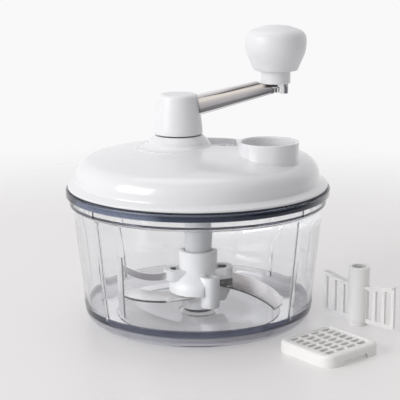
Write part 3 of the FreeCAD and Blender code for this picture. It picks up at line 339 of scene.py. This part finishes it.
def distance_from(finish, axis):
    """Distance on plan from an upright axis at this X and Y."""
    place = coordinates(finish)
    flat = add_node(finish, "ShaderNodeCombineXYZ")
    join(finish, place["X"], flat.inputs["X"])
    join(finish, place["Y"], flat.inputs["Y"])
    away = add_node(finish, "ShaderNodeVectorMath", operation="DISTANCE")
    join(finish, flat.outputs["Vector"], away.inputs[0])
    away.inputs[1].default_value = (*axis, 0)
    return away.outputs["Value"]


def ramp(owner, value, start, end):
    """0 before start, 1 after end, smooth between."""
    step = add_node(owner, "ShaderNodeMapRange", interpolation_type="SMOOTHSTEP")
    step.inputs["From Min"].default_value = start
    step.inputs["From Max"].default_value = end
    join(owner, value, step.inputs["Value"])
    return step.outputs["Result"]


side_radius = distance_from(side_steel, BOWL_AXIS)
low_radius = distance_from(low_steel, BOWL_AXIS)
side_reflection_share = ramp(side_steel, side_radius, PALE_START, PALE_END)
low_reflection_share = ramp(low_steel, low_radius, PALE_START, PALE_END)
print("blades turn pale from", PALE_START, "to", PALE_END, "m")

# %% Painted reflection on the tips
BLADE_TIP_REFLECTION = (0.93, 0.90, 0.89)


def combine(owner, operation, first, second):
    result = add_node(owner, "ShaderNodeMath", operation=operation)
    join(owner, first, result.inputs[0])
    join(owner, second, result.inputs[1])
    return result.outputs["Value"]


def where_all(finish, *amounts):
    """1 only where every amount is 1."""
    together = amounts[0]
    for amount in amounts[1:]:
        together = combine(finish, "MULTIPLY", together, amount)
    return together


def stain(finish, colour, *amounts):
    """Lay a colour over the finish where every amount is 1."""
    socket = shader_of(finish).inputs["Base Color"]
    mix = add_node(finish, "ShaderNodeMix", data_type="RGBA")
    mix.inputs["A"].default_value = socket.default_value
    mix.inputs["B"].default_value = (*colour, 1)
    if socket.links:
        join(finish, socket.links[0].from_socket, mix.inputs["A"])
    join(finish, where_all(finish, *amounts), mix.inputs["Factor"])
    join(finish, colour_from(mix), socket)


# Painted reflection of the white lid on the outer part of each blade.
stain(side_steel, BLADE_TIP_REFLECTION, side_reflection_share)
stain(low_steel, BLADE_TIP_REFLECTION, low_reflection_share)
print("pale tips on the blades")

# %% [markdown]
# ## Painted shade on the edges
# A ground edge turns away from the light, so it shows as a fine dark line, painted on here as
# shade. Each edge of the sickle blades is an arc, and the line is where a point's distance
# from the centre of that arc comes close to its radius. The upper blade also gets painted
# shadow where it enters the hub.

# %% Painted shade on the blade edges and root
PAINTED_STEEL_SHADE = (0.04, 0.037, 0.037)
HOLLOW_EDGE = ((-3.05 * MM, -57.76 * MM), 58.10 * MM)
ROUND_EDGE = ((-7.34 * MM, 24.47 * MM), 52.30 * MM)
EDGE_WIDTH = 0.75 * MM
BLADE_ROOT = 24.5 * MM
ROOT_FADE = 0.6 * MM


def paint_edge_shade(finish, centre, radius, width):
    """A painted shade line just outside an arc, or just inside it if the width is negative."""
    reach = distance_from(finish, centre)
    stain(finish, PAINTED_STEEL_SHADE, ramp(finish, reach, radius + width, radius + 0.5 * width))


paint_edge_shade(side_steel, *HOLLOW_EDGE, EDGE_WIDTH)
paint_edge_shade(low_steel, *ROUND_EDGE, -EDGE_WIDTH)
# Painted shadow where the upper blade enters the hub.
stain(side_steel, PAINTED_STEEL_SHADE, ramp(side_steel, side_radius, BLADE_ROOT, BLADE_ROOT - ROOT_FADE))
print("edges", round(EDGE_WIDTH / MM, 2), "mm wide")

# %% [markdown]
# ## Painted shade on the scraper's edge
# The upright scraper gets such a painted shade line on its right edge, softer and greyer than on
# the blades.
# The edge is straight and leans, so its X is worked out from the height of the point, and
# what counts is how far the point lies past it.

# %% Painted shade on the scraper's edge
SCRAPER_EDGE_SHADE = (0.20, 0.19, 0.20)
SCRAPER_EDGE_FOOT = -52.2 * MM
SCRAPER_EDGE_LEAN = -0.031
SCRAPER_FADE_START = -1.0 * MM
SCRAPER_FADE_END = -0.7 * MM


def line_along(owner, value, start, slope):
    """A number that grows from start by this slope along a value."""
    line = add_node(owner, "ShaderNodeMath", operation="MULTIPLY_ADD")
    join(owner, value, line.inputs[0])
    line.inputs[1].default_value = slope
    line.inputs[2].default_value = start
    return line.outputs["Value"]


on_scraper = coordinates(scraper_steel)
right_edge = line_along(scraper_steel, on_scraper["Z"], SCRAPER_EDGE_FOOT, SCRAPER_EDGE_LEAN)
past_edge = combine(scraper_steel, "SUBTRACT", on_scraper["X"], right_edge)
# Painted shade along the scraper's right edge.
stain(scraper_steel, SCRAPER_EDGE_SHADE,
      ramp(scraper_steel, past_edge, SCRAPER_FADE_START, SCRAPER_FADE_END))
print("grey edge", round(-SCRAPER_FADE_END / MM, 2), "mm wide on the scraper")

# %% [markdown]
# ## Steel with a room painted in it
# Polished steel shows the room it stands in, and here that is painted into the arm's colour:
# a painted warm bright band under its upper flange, a painted grey reflection on the web,
# and a painted shade line in each corner where the flanges shade it. The bands follow the
# arm, whose lower edge rises more steeply than its upper one, so each point is placed by its
# share of the way from one edge to the other.

# %% Share of the arm's web
ARM_ROOT_X = -1.4 * MM
LOWER_EDGE = {"height": 148.1 * MM, "slope": math.tan(math.radians(15.0))}
UPPER_EDGE = {"height": 162.2 * MM, "slope": math.tan(math.radians(12.6))}
EYE_START = 55.6 * MM
EYE_FADE = 0.5 * MM


def edge_height(along, height, slope):
    """Height of an edge of the arm, from its height at the arm's root and its slope."""
    return line_along(arm_steel, along, height - slope * ARM_ROOT_X, slope)


on_arm = coordinates(arm_steel)
share = add_node(arm_steel, "ShaderNodeMapRange")
join(arm_steel, on_arm["Z"], share.inputs["Value"])
join(arm_steel, edge_height(on_arm["X"], **LOWER_EDGE), share.inputs["From Min"])
join(arm_steel, edge_height(on_arm["X"], **UPPER_EDGE), share.inputs["From Max"])
on_eye = ramp(arm_steel, on_arm["X"], EYE_START, EYE_START + EYE_FADE)
share_of_web = combine(arm_steel, "MAXIMUM", share.outputs["Result"], on_eye)
print("web from the root to the eye, which starts at", round(EYE_START / MM, 1), "mm")

# %% Painted reflection and shade bands on the arm
ARM_PAINTED_BANDS = [(0.00, (0.80, 0.79, 0.79)), (0.10, (0.66, 0.65, 0.65)), (0.117, (0.05, 0.05, 0.05)),
             (0.13, (0.05, 0.05, 0.05)), (0.15, (0.42, 0.41, 0.42)), (0.36, (0.45, 0.43, 0.44)),
             (0.52, (0.60, 0.56, 0.54)), (0.64, (0.84, 0.78, 0.72)), (0.78, (0.80, 0.74, 0.69)),
             (0.82, (0.18, 0.16, 0.15)), (0.87, (0.18, 0.16, 0.15)), (0.91, (0.56, 0.54, 0.54)),
             (1.00, (0.72, 0.70, 0.70))]


def bands(finish, value, stops):
    """Colours along a value from 0 to 1, times what the brushing gave."""
    ladder = add_node(finish, "ShaderNodeValToRGB")
    steps = ladder.color_ramp.elements
    while len(steps) < len(stops):
        steps.new(1.0)
    for step, (position, colour) in zip(steps, stops):
        step.position = position
        step.color = (*colour, 1)
    product = add_node(finish, "ShaderNodeMix", data_type="RGBA", blend_type="MULTIPLY")
    product.inputs["Factor"].default_value = 1.0
    socket = shader_of(finish).inputs["Base Color"]
    join(finish, value, ladder.inputs["Fac"])
    join(finish, ladder.outputs["Color"], product.inputs["B"])
    join(finish, socket.links[0].from_socket, product.inputs["A"])
    join(finish, colour_from(product), socket)


# Painted reflections and shade on the arm: a warm highlight band, a grey web and dark corner
# lines.
bands(arm_steel, share_of_web, ARM_PAINTED_BANDS)
print(len(ARM_PAINTED_BANDS), "bands on the arm")

# %% [markdown]
# ## Painted shade in the arm's grooves
# The channel ends at the eye that holds the knob's pin. A painted shade line marks the groove
# at that step, and painted shadow lies over the last few millimetres before it, under the
# upper flange. Both are laid on between two limits along the arm, and the shadow also
# between two heights.

# %% Painted shade at the eye's groove and under the flange
EYE_GROOVE = 1.4 * MM
GROOVE_FADE = 0.4 * MM
PAD_SHADE_START = 46 * MM
PAD_SHADE_FADE = 3 * MM
PAD_SHADE_HEIGHTS = (166.9 * MM, 170.6 * MM)
PAD_HEIGHT_FADES = (0.6 * MM, 0.3 * MM)


def within(finish, value, limits, fades):
    """1 between two limits, with a fade inside each of them."""
    rise = ramp(finish, value, limits[0], limits[0] + fades[0])
    fall = ramp(finish, value, limits[1], limits[1] - fades[1])
    return where_all(finish, rise, fall)


# Painted shade in the groove at the eye.
stain(arm_steel, PAINTED_STEEL_SHADE,
      within(arm_steel, on_arm["X"], (EYE_START, EYE_START + EYE_GROOVE),
             (GROOVE_FADE, GROOVE_FADE)))
# Painted shadow under the upper flange just before the eye.
stain(arm_steel, PAINTED_STEEL_SHADE,
      within(arm_steel, on_arm["X"], (PAD_SHADE_START, EYE_START + GROOVE_FADE),
             (PAD_SHADE_FADE, GROOVE_FADE)),
      within(arm_steel, on_arm["Z"], PAD_SHADE_HEIGHTS, PAD_HEIGHT_FADES))
print("groove at the eye", round(EYE_GROOVE / MM, 1), "mm wide")

# %% [markdown]
# ## Painted shade in the hub
# The slots on both sides of the hub's bracket are deep, so painted shade darkens them inside,
# and also the wedge beside the bracket's leg and the seat under the hub. Each is laid on by
# its place: the slots by their distance from two upright axes, the rest by X and height.

# %% Painted shade in slots, by the leg and at the seat
PAINTED_HUB_SHADE = (0.05, 0.05, 0.045)
BRACKET_TURN = math.radians(9)
SLOT_REACH = 17.5 * MM
SLOT_RADIUS = 5.7 * MM
SLOT_FADE = 0.3 * MM
SLOT_HEIGHTS = (27.0 * MM, 35.6 * MM)
SLOT_HEIGHT_FADES = (1.0 * MM, 0.6 * MM)
LEG_START = 16.5 * MM
LEG_FADE = 1.0 * MM
LEG_HEIGHTS = (22.5 * MM, 29.0 * MM)
LEG_HEIGHT_FADES = (0.5 * MM, 0.5 * MM)
SEAT_TOP = 7.0 * MM
SEAT_FADE = 0.3 * MM

slot_right = (SLOT_REACH * math.cos(BRACKET_TURN), SLOT_REACH * math.sin(BRACKET_TURN))
slot_left = (-slot_right[0], -slot_right[1])
on_hub = coordinates(white_hub)
to_slot = combine(white_hub, "MINIMUM", distance_from(white_hub, slot_right),
                  distance_from(white_hub, slot_left))
# Painted shade inside the bracket's slots.
stain(white_hub, PAINTED_HUB_SHADE,
      ramp(white_hub, to_slot, SLOT_RADIUS, SLOT_RADIUS - SLOT_FADE),
      within(white_hub, on_hub["Z"], SLOT_HEIGHTS, SLOT_HEIGHT_FADES))
# Painted shade in the wedge beside the bracket's leg.
stain(white_hub, PAINTED_HUB_SHADE,
      ramp(white_hub, on_hub["X"], LEG_START, LEG_START + LEG_FADE),
      within(white_hub, on_hub["Z"], LEG_HEIGHTS, LEG_HEIGHT_FADES))
# Painted shadow at the seat under the hub.
stain(white_hub, PAINTED_HUB_SHADE, ramp(white_hub, on_hub["Z"], SEAT_TOP, SEAT_TOP - SEAT_FADE))
print("slots at", [round(value / MM, 1) for value in slot_right], "mm")

# %% [markdown]
# ## Clear bowl
# The bowl is clear styrene plastic. It bends light as glass does, and where the wall is
# seen edge-on, the light has come a long way through it and comes out a little lilac grey.
# A volume that only absorbs shows that without noise. A very shallow wave over the whole
# bowl keeps its mirror images from being too perfect for a moulded wall.

# %% Clear bowl
CLEAR = (0.985, 0.99, 0.995)
BOWL_IOR = 1.52
DEPTH_COLOUR = (0.80, 0.81, 0.86)
DEPTH_DENSITY = 40.0
WALL_WAVE = {"scale": 22, "detail": 1}
WALL_WAVE_DEPTH = 0.015 * MM


def make_clear_bowl():
    finish = new_finish("clear bowl", CLEAR, roughness=0.0, Transmission_Weight=1.0, IOR=BOWL_IOR)
    relief(finish, [(noise(finish, **WALL_WAVE), WALL_WAVE_DEPTH)])
    depth = add_node(finish, "ShaderNodeVolumeAbsorption")
    depth.inputs["Color"].default_value = (*DEPTH_COLOUR, 1)
    depth.inputs["Density"].default_value = DEPTH_DENSITY
    join(finish, depth.outputs["Volume"],
         finish.node_tree.nodes["Material Output"].inputs["Volume"])
    return finish


clear_bowl = make_clear_bowl()
wear(clear_bowl, "bowl")

# %% [markdown]
# ## Painted tones of the floor and foot
# Thick and rounded parts of the bowl bend so much light that they gather the tones of a
# whole room, which isn't modelled here. So those tones are painted on. The middle of the
# floor gets a pale grey painted shade, and the rounded foot a grey painted reflection on the
# near side, weaker at the left and with painted shade darker towards the right.

# %% Painted shade and reflection on the floor and the foot
FLOOR_PAINTED_SHADE = (0.82, 0.825, 0.835)
FLOOR_TOP = 5.2 * MM
FLOOR_FADE = 1.0 * MM
FLOOR_EDGE = 46 * MM
FLOOR_EDGE_FADE = 12 * MM
FOOT_PAINTED_REFLECTION = (0.56, 0.57, 0.63)
FOOT_PAINTED_SHADE = (0.38, 0.37, 0.40)
FOOT_START = 68 * MM
FOOT_FADE = 8 * MM
FOOT_SHADE_TURN = (-30 * MM, 60 * MM)
FAR_SIDE = 120 * MM
NEAR_SIDE = -20 * MM
LEFT_END = -60 * MM
LEFT_START = -15 * MM
LEFT_SHARE = 0.65
LEDGE_BOTTOM = 9.2 * MM
LEDGE_FOOT_FADE = 1.0 * MM

on_bowl = coordinates(clear_bowl)
bowl_radius = distance_from(clear_bowl, BOWL_AXIS)
near_side = ramp(clear_bowl, on_bowl["Y"], FAR_SIDE, NEAR_SIDE)
less_left = line_along(clear_bowl, ramp(clear_bowl, on_bowl["X"], LEFT_END, LEFT_START),
                       LEFT_SHARE, 1 - LEFT_SHARE)
on_foot = where_all(clear_bowl, near_side, less_left,
                    ramp(clear_bowl, on_bowl["Z"], LEDGE_BOTTOM + LEDGE_FOOT_FADE,
                         LEDGE_BOTTOM - LEDGE_FOOT_FADE),
                    ramp(clear_bowl, bowl_radius, FOOT_START, FOOT_START + FOOT_FADE))
# Painted shade in the middle of the floor, under the hub.
stain(clear_bowl, FLOOR_PAINTED_SHADE,
      ramp(clear_bowl, on_bowl["Z"], FLOOR_TOP + FLOOR_FADE, FLOOR_TOP),
      ramp(clear_bowl, bowl_radius, FLOOR_EDGE, FLOOR_EDGE - FLOOR_EDGE_FADE))
# Painted reflection of the room on the near side of the foot, weaker at the left.
stain(clear_bowl, FOOT_PAINTED_REFLECTION, on_foot)
# Painted shade on the foot, darker towards the right.
stain(clear_bowl, FOOT_PAINTED_SHADE, on_foot, ramp(clear_bowl, on_bowl["X"], *FOOT_SHADE_TURN))
print("foot tone from", round(FOOT_START / MM), "mm out, up to", round(LEDGE_BOTTOM / MM, 1), "mm")

# %% [markdown]
# ## Painted reflections on the ledge and rim
# The small ledge above the foot and the deep rim of the bowl mirror the dark side of the
# room, and that reflection is painted on. The ledge gets painted navy on the near side. The
# rim's outer skin gets painted blue at the left and nearly black navy from there on, with a
# painted highlight as a paler line along its top.

# %% Painted reflections and highlight on the ledge and the rim
LEDGE_PAINTED_REFLECTION = (0.105, 0.115, 0.170)
LEDGE_TOP = 14.6 * MM
LEDGE_TOP_FADE = 0.4 * MM
LEDGE_SKIN = 79 * MM
LEDGE_SKIN_FADE = 1.0 * MM
RIM_PAINTED_BLUE = (0.040, 0.055, 0.100)
RIM_PAINTED_NAVY = (0.001, 0.003, 0.012)
RIM_PAINTED_HIGHLIGHT = (0.10, 0.125, 0.19)
RIM_DEPTH = 5.4 * MM
RIM_FADE = 0.6 * MM
RIM_SKIN = 92.6 * MM
RIM_SKIN_FADE = 0.4 * MM
RIM_TURN = (-34 * MM, -22 * MM)
RIM_HIGHLIGHT_START = 1.3 * MM
RIM_HIGHLIGHT_END = 1.1 * MM

rim_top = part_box("bowl")[1].z
rim_edge = rim_top - RIM_DEPTH
on_rim = where_all(clear_bowl, ramp(clear_bowl, on_bowl["Z"], rim_edge, rim_edge + RIM_FADE),
                   ramp(clear_bowl, bowl_radius, RIM_SKIN, RIM_SKIN + RIM_SKIN_FADE))
# Painted navy reflection on the near side of the ledge.
stain(clear_bowl, LEDGE_PAINTED_REFLECTION, near_side,
      within(clear_bowl, on_bowl["Z"], (LEDGE_BOTTOM - LEDGE_FOOT_FADE, LEDGE_TOP),
             (2 * LEDGE_FOOT_FADE, LEDGE_TOP_FADE)),
      ramp(clear_bowl, bowl_radius, LEDGE_SKIN, LEDGE_SKIN + LEDGE_SKIN_FADE))
# Painted blue reflection on the rim's outer skin.
stain(clear_bowl, RIM_PAINTED_BLUE, on_rim)
# Painted near-black navy reflection on the rim, right of its blue left end.
stain(clear_bowl, RIM_PAINTED_NAVY, on_rim, ramp(clear_bowl, on_bowl["X"], *RIM_TURN))
# Painted highlight as a paler line along the rim's top.
stain(clear_bowl, RIM_PAINTED_HIGHLIGHT, on_rim,
      ramp(clear_bowl, on_bowl["Z"], rim_top - RIM_HIGHLIGHT_START, rim_top - RIM_HIGHLIGHT_END))
print("rim tone from", round(rim_edge / MM, 1), "to", round(rim_top / MM, 1), "mm up")

# %% [markdown]
# ## Light inside the bowl
# A path tracer finds the way of a lamp through curved clear walls only by chance, which
# leaves the blades dark and speckled. Thin clear plastic hardly weakens light, so rays that
# look for a lamp pass straight through the wall and lose only a little on the way.

# %% Let the lamps in
LAMP_TINT = (0.965, 0.97, 0.975)


def mix_shaders(owner, amount, first, second):
    """The first shader where the amount is 0, the second where it is 1."""
    mix = add_node(owner, "ShaderNodeMixShader")
    join(owner, amount, mix.inputs["Fac"])
    join(owner, first, mix.inputs[1])
    join(owner, second, mix.inputs[2])
    return mix.outputs["Shader"]


def let_lamps_in(finish, tint):
    """Light from the lamps passes straight through a clear wall instead of stopping."""
    path = add_node(finish, "ShaderNodeLightPath")
    film = add_node(finish, "ShaderNodeBsdfTransparent")
    film.inputs["Color"].default_value = (*tint, 1)
    surface = mix_shaders(finish, path.outputs["Is Shadow Ray"],
                          shader_of(finish).outputs["BSDF"], film.outputs["BSDF"])
    join(finish, surface, finish.node_tree.nodes["Material Output"].inputs["Surface"])


let_lamps_in(clear_bowl, LAMP_TINT)
print("lamps shine through the bowl, tint", LAMP_TINT)

# %% [markdown]
# ## Foot pads
# Four small pads of soft clear rubber keep the bowl from sliding. They are milky rather
# than clear, so they let less light through and are rough, and a fine grain dulls them.

# %% Clear pads
PAD_TINT = (0.62, 0.64, 0.70)
PAD_CLEARNESS = 0.85
PAD_IOR = 1.45
PAD_GRAIN = {"scale": 600, "detail": 2}
PAD_GRAIN_DEPTH = 0.02 * MM

clear_pads = new_finish("clear pads", PAD_TINT, roughness=0.22,
                        Transmission_Weight=PAD_CLEARNESS, IOR=PAD_IOR)
relief(clear_pads, [(noise(clear_pads, **PAD_GRAIN), PAD_GRAIN_DEPTH)])
wear(clear_pads, "foot_pads")

# %% [markdown]
# ## Table
# The table is plain pale stone, and it fades into a white backdrop well behind the object,
# so that no horizon cuts the picture. To the eye, to gloss and to glass it glows a little,
# which makes it paler without lighting the object more.

# %% Table
TABLE_SIZE = 6.0
TABLE_COLOUR = (0.88, 0.86, 0.855)
TABLE_SHADE = (0.84, 0.82, 0.815)
TABLE_CLOUD = {"scale": 5, "detail": 4}
TABLE_LIFT = 0.24
LIFT_COLOUR = (0.88, 0.86, 0.86)
FADE_START = 0.28
FADE_END = 0.75


def lift_for_the_eye(stone, surface):
    """The table as the eye, gloss and glass see it, a little paler than its light makes it."""
    path = add_node(stone, "ShaderNodeLightPath")
    glow = add_node(stone, "ShaderNodeEmission")
    glow.inputs["Color"].default_value = (*LIFT_COLOUR, 1)
    seen = combine(stone, "MAXIMUM", path.outputs["Is Camera Ray"], path.outputs["Is Glossy Ray"])
    seen = combine(stone, "MAXIMUM", seen, path.outputs["Is Transmission Ray"])
    share = line_along(stone, seen, 0.0, TABLE_LIFT)
    return mix_shaders(stone, share, surface, glow.outputs["Emission"])


def make_table():
    bpy.ops.object.select_all(action="DESELECT")
    bpy.ops.mesh.primitive_plane_add(size=TABLE_SIZE, location=(0, 0, 0))
    table = bpy.context.object
    table.name = "table"
    stone = new_finish("pale stone", TABLE_COLOUR, roughness=0.32)
    shader = shader_of(stone)
    cloud = noise(stone, **TABLE_CLOUD)
    join(stone, blend_colours(stone, cloud, TABLE_COLOUR, TABLE_SHADE),
         shader.inputs["Base Color"])
    lifted = lift_for_the_eye(stone, shader.outputs["BSDF"])
    away = ramp(stone, distance_from(stone, BOWL_AXIS), FADE_START, FADE_END)
    clear = add_node(stone, "ShaderNodeBsdfTransparent")
    surface = mix_shaders(stone, away, lifted, clear.outputs["BSDF"])
    join(stone, surface, stone.node_tree.nodes["Material Output"].inputs["Surface"])
    table.data.materials.append(stone)


make_table()
print("table", TABLE_SIZE, "m")

# %% [markdown]
# ## World
# The world lights the object from all sides at a plain level, and the eye sees it as a
# white backdrop. Gloss and glass see a room that darkens on the right, which gives round
# white walls their grey side. A picture of a studio could do it, but this needs no file.

# %% World
BACKDROP_WHITE = (0.95, 0.945, 0.955)
PLAIN_WHITE = (1, 1, 1)
ROOM_SHADE = (0.15, 0.155, 0.18)
SHADE_SIDE = (0.96, -0.28, 0.0)
SHADE_START = 0.45
SHADE_END = 0.95
AMBIENT = 0.50


def facing(world, side):
    """1 for a ray that goes straight to this side, -1 for one that goes away from it."""
    ray = add_node(world, "ShaderNodeTexCoord")
    product = add_node(world, "ShaderNodeVectorMath", operation="DOT_PRODUCT")
    product.inputs[1].default_value = Vector(side).normalized()
    join(world, ray.outputs["Generated"], product.inputs[0])
    return product.outputs["Value"]


def make_world():
    """White behind the object, shading off towards the room on its right and front."""
    world = bpy.data.worlds.new("studio")
    world.use_nodes = True
    backdrop = world.node_tree.nodes["Background"]
    backdrop.inputs["Color"].default_value = (*BACKDROP_WHITE, 1)
    ambient = add_node(world, "ShaderNodeBackground")
    ambient.inputs["Color"].default_value = (*PLAIN_WHITE, 1)
    ambient.inputs["Strength"].default_value = AMBIENT
    room = add_node(world, "ShaderNodeBackground")
    shade = ramp(world, facing(world, SHADE_SIDE), SHADE_START, SHADE_END)
    join(world, blend_colours(world, shade, BACKDROP_WHITE, ROOM_SHADE), room.inputs["Color"])
    path = add_node(world, "ShaderNodeLightPath")
    seen = combine(world, "MAXIMUM", path.outputs["Is Glossy Ray"],
                   path.outputs["Is Transmission Ray"])
    light = mix_shaders(world, seen, ambient.outputs["Background"], room.outputs["Background"])
    light = mix_shaders(world, path.outputs["Is Camera Ray"], light,
                        backdrop.outputs["Background"])
    join(world, light, world.node_tree.nodes["World Output"].inputs["Surface"])
    bpy.context.scene.world = world


make_world()
print("ambient level", AMBIENT)

# %% [markdown]
# ## Lamps
# One large lamp from the left models the round forms, and a weak one above opens the top.
# Both are wide for their distance, because a wide lamp gives soft shadows. Both are aimed
# at the bowl's axis just under the lid, and the eye doesn't see them.

# %% Lamps
LAMP_AIM = (0, 0, 0.09)
KEY_LAMP = {"place": (-1.55, -0.88, 0.70), "size": 1.1, "power": 21}
TOP_LAMP = {"place": (-0.2, 0.3, 1.7), "size": 1.2, "power": 5}


def soft_lamp(name, place, size, power):
    """A square lamp that shines on the object."""
    lamp = bpy.data.lights.new(name, "AREA")
    lamp.size = size
    lamp.energy = power
    holder = bpy.data.objects.new(name, lamp)
    bpy.context.scene.collection.objects.link(holder)
    turn = (Vector(LAMP_AIM) - Vector(place)).to_track_quat("-Z", "Y")
    holder.matrix_world = Matrix.Translation(place) @ turn.to_matrix().to_4x4()
    holder.visible_camera = False
    print(name, "at", place, power, "W")


soft_lamp("key lamp", **KEY_LAMP)
soft_lamp("top lamp", **TOP_LAMP)

# %% [markdown]
# ## Camera
# A long lens from a little above the rim keeps the bowl's walls nearly upright. The camera's
# height, distance and tilt are set as on a tripod, and a small sideways shift frames the
# object.

# %% Camera
CAMERA_DISTANCE = 0.813
CAMERA_HEIGHT = 0.271
CAMERA_TILT = math.radians(12.81)
CAMERA_ROLL = math.radians(-0.36)
LENS = 103.5
SENSOR = 36.0
SIDE_SHIFT = 0.00525

camera_data = bpy.data.cameras.new("camera")
camera_data.lens = LENS
camera_data.sensor_width = SENSOR
camera_data.shift_x = SIDE_SHIFT
camera = bpy.data.objects.new("camera", camera_data)
bpy.context.scene.collection.objects.link(camera)
turn = Matrix.Rotation(math.pi / 2 - CAMERA_TILT, 4, "X") @ Matrix.Rotation(CAMERA_ROLL, 4, "Z")
camera.matrix_world = Matrix.Translation((0, -CAMERA_DISTANCE, CAMERA_HEIGHT)) @ turn
bpy.context.scene.camera = camera
bpy.context.scene.view_settings.view_transform = "Standard"
print("camera", round(math.hypot(CAMERA_DISTANCE, CAMERA_HEIGHT), 3), "m away")
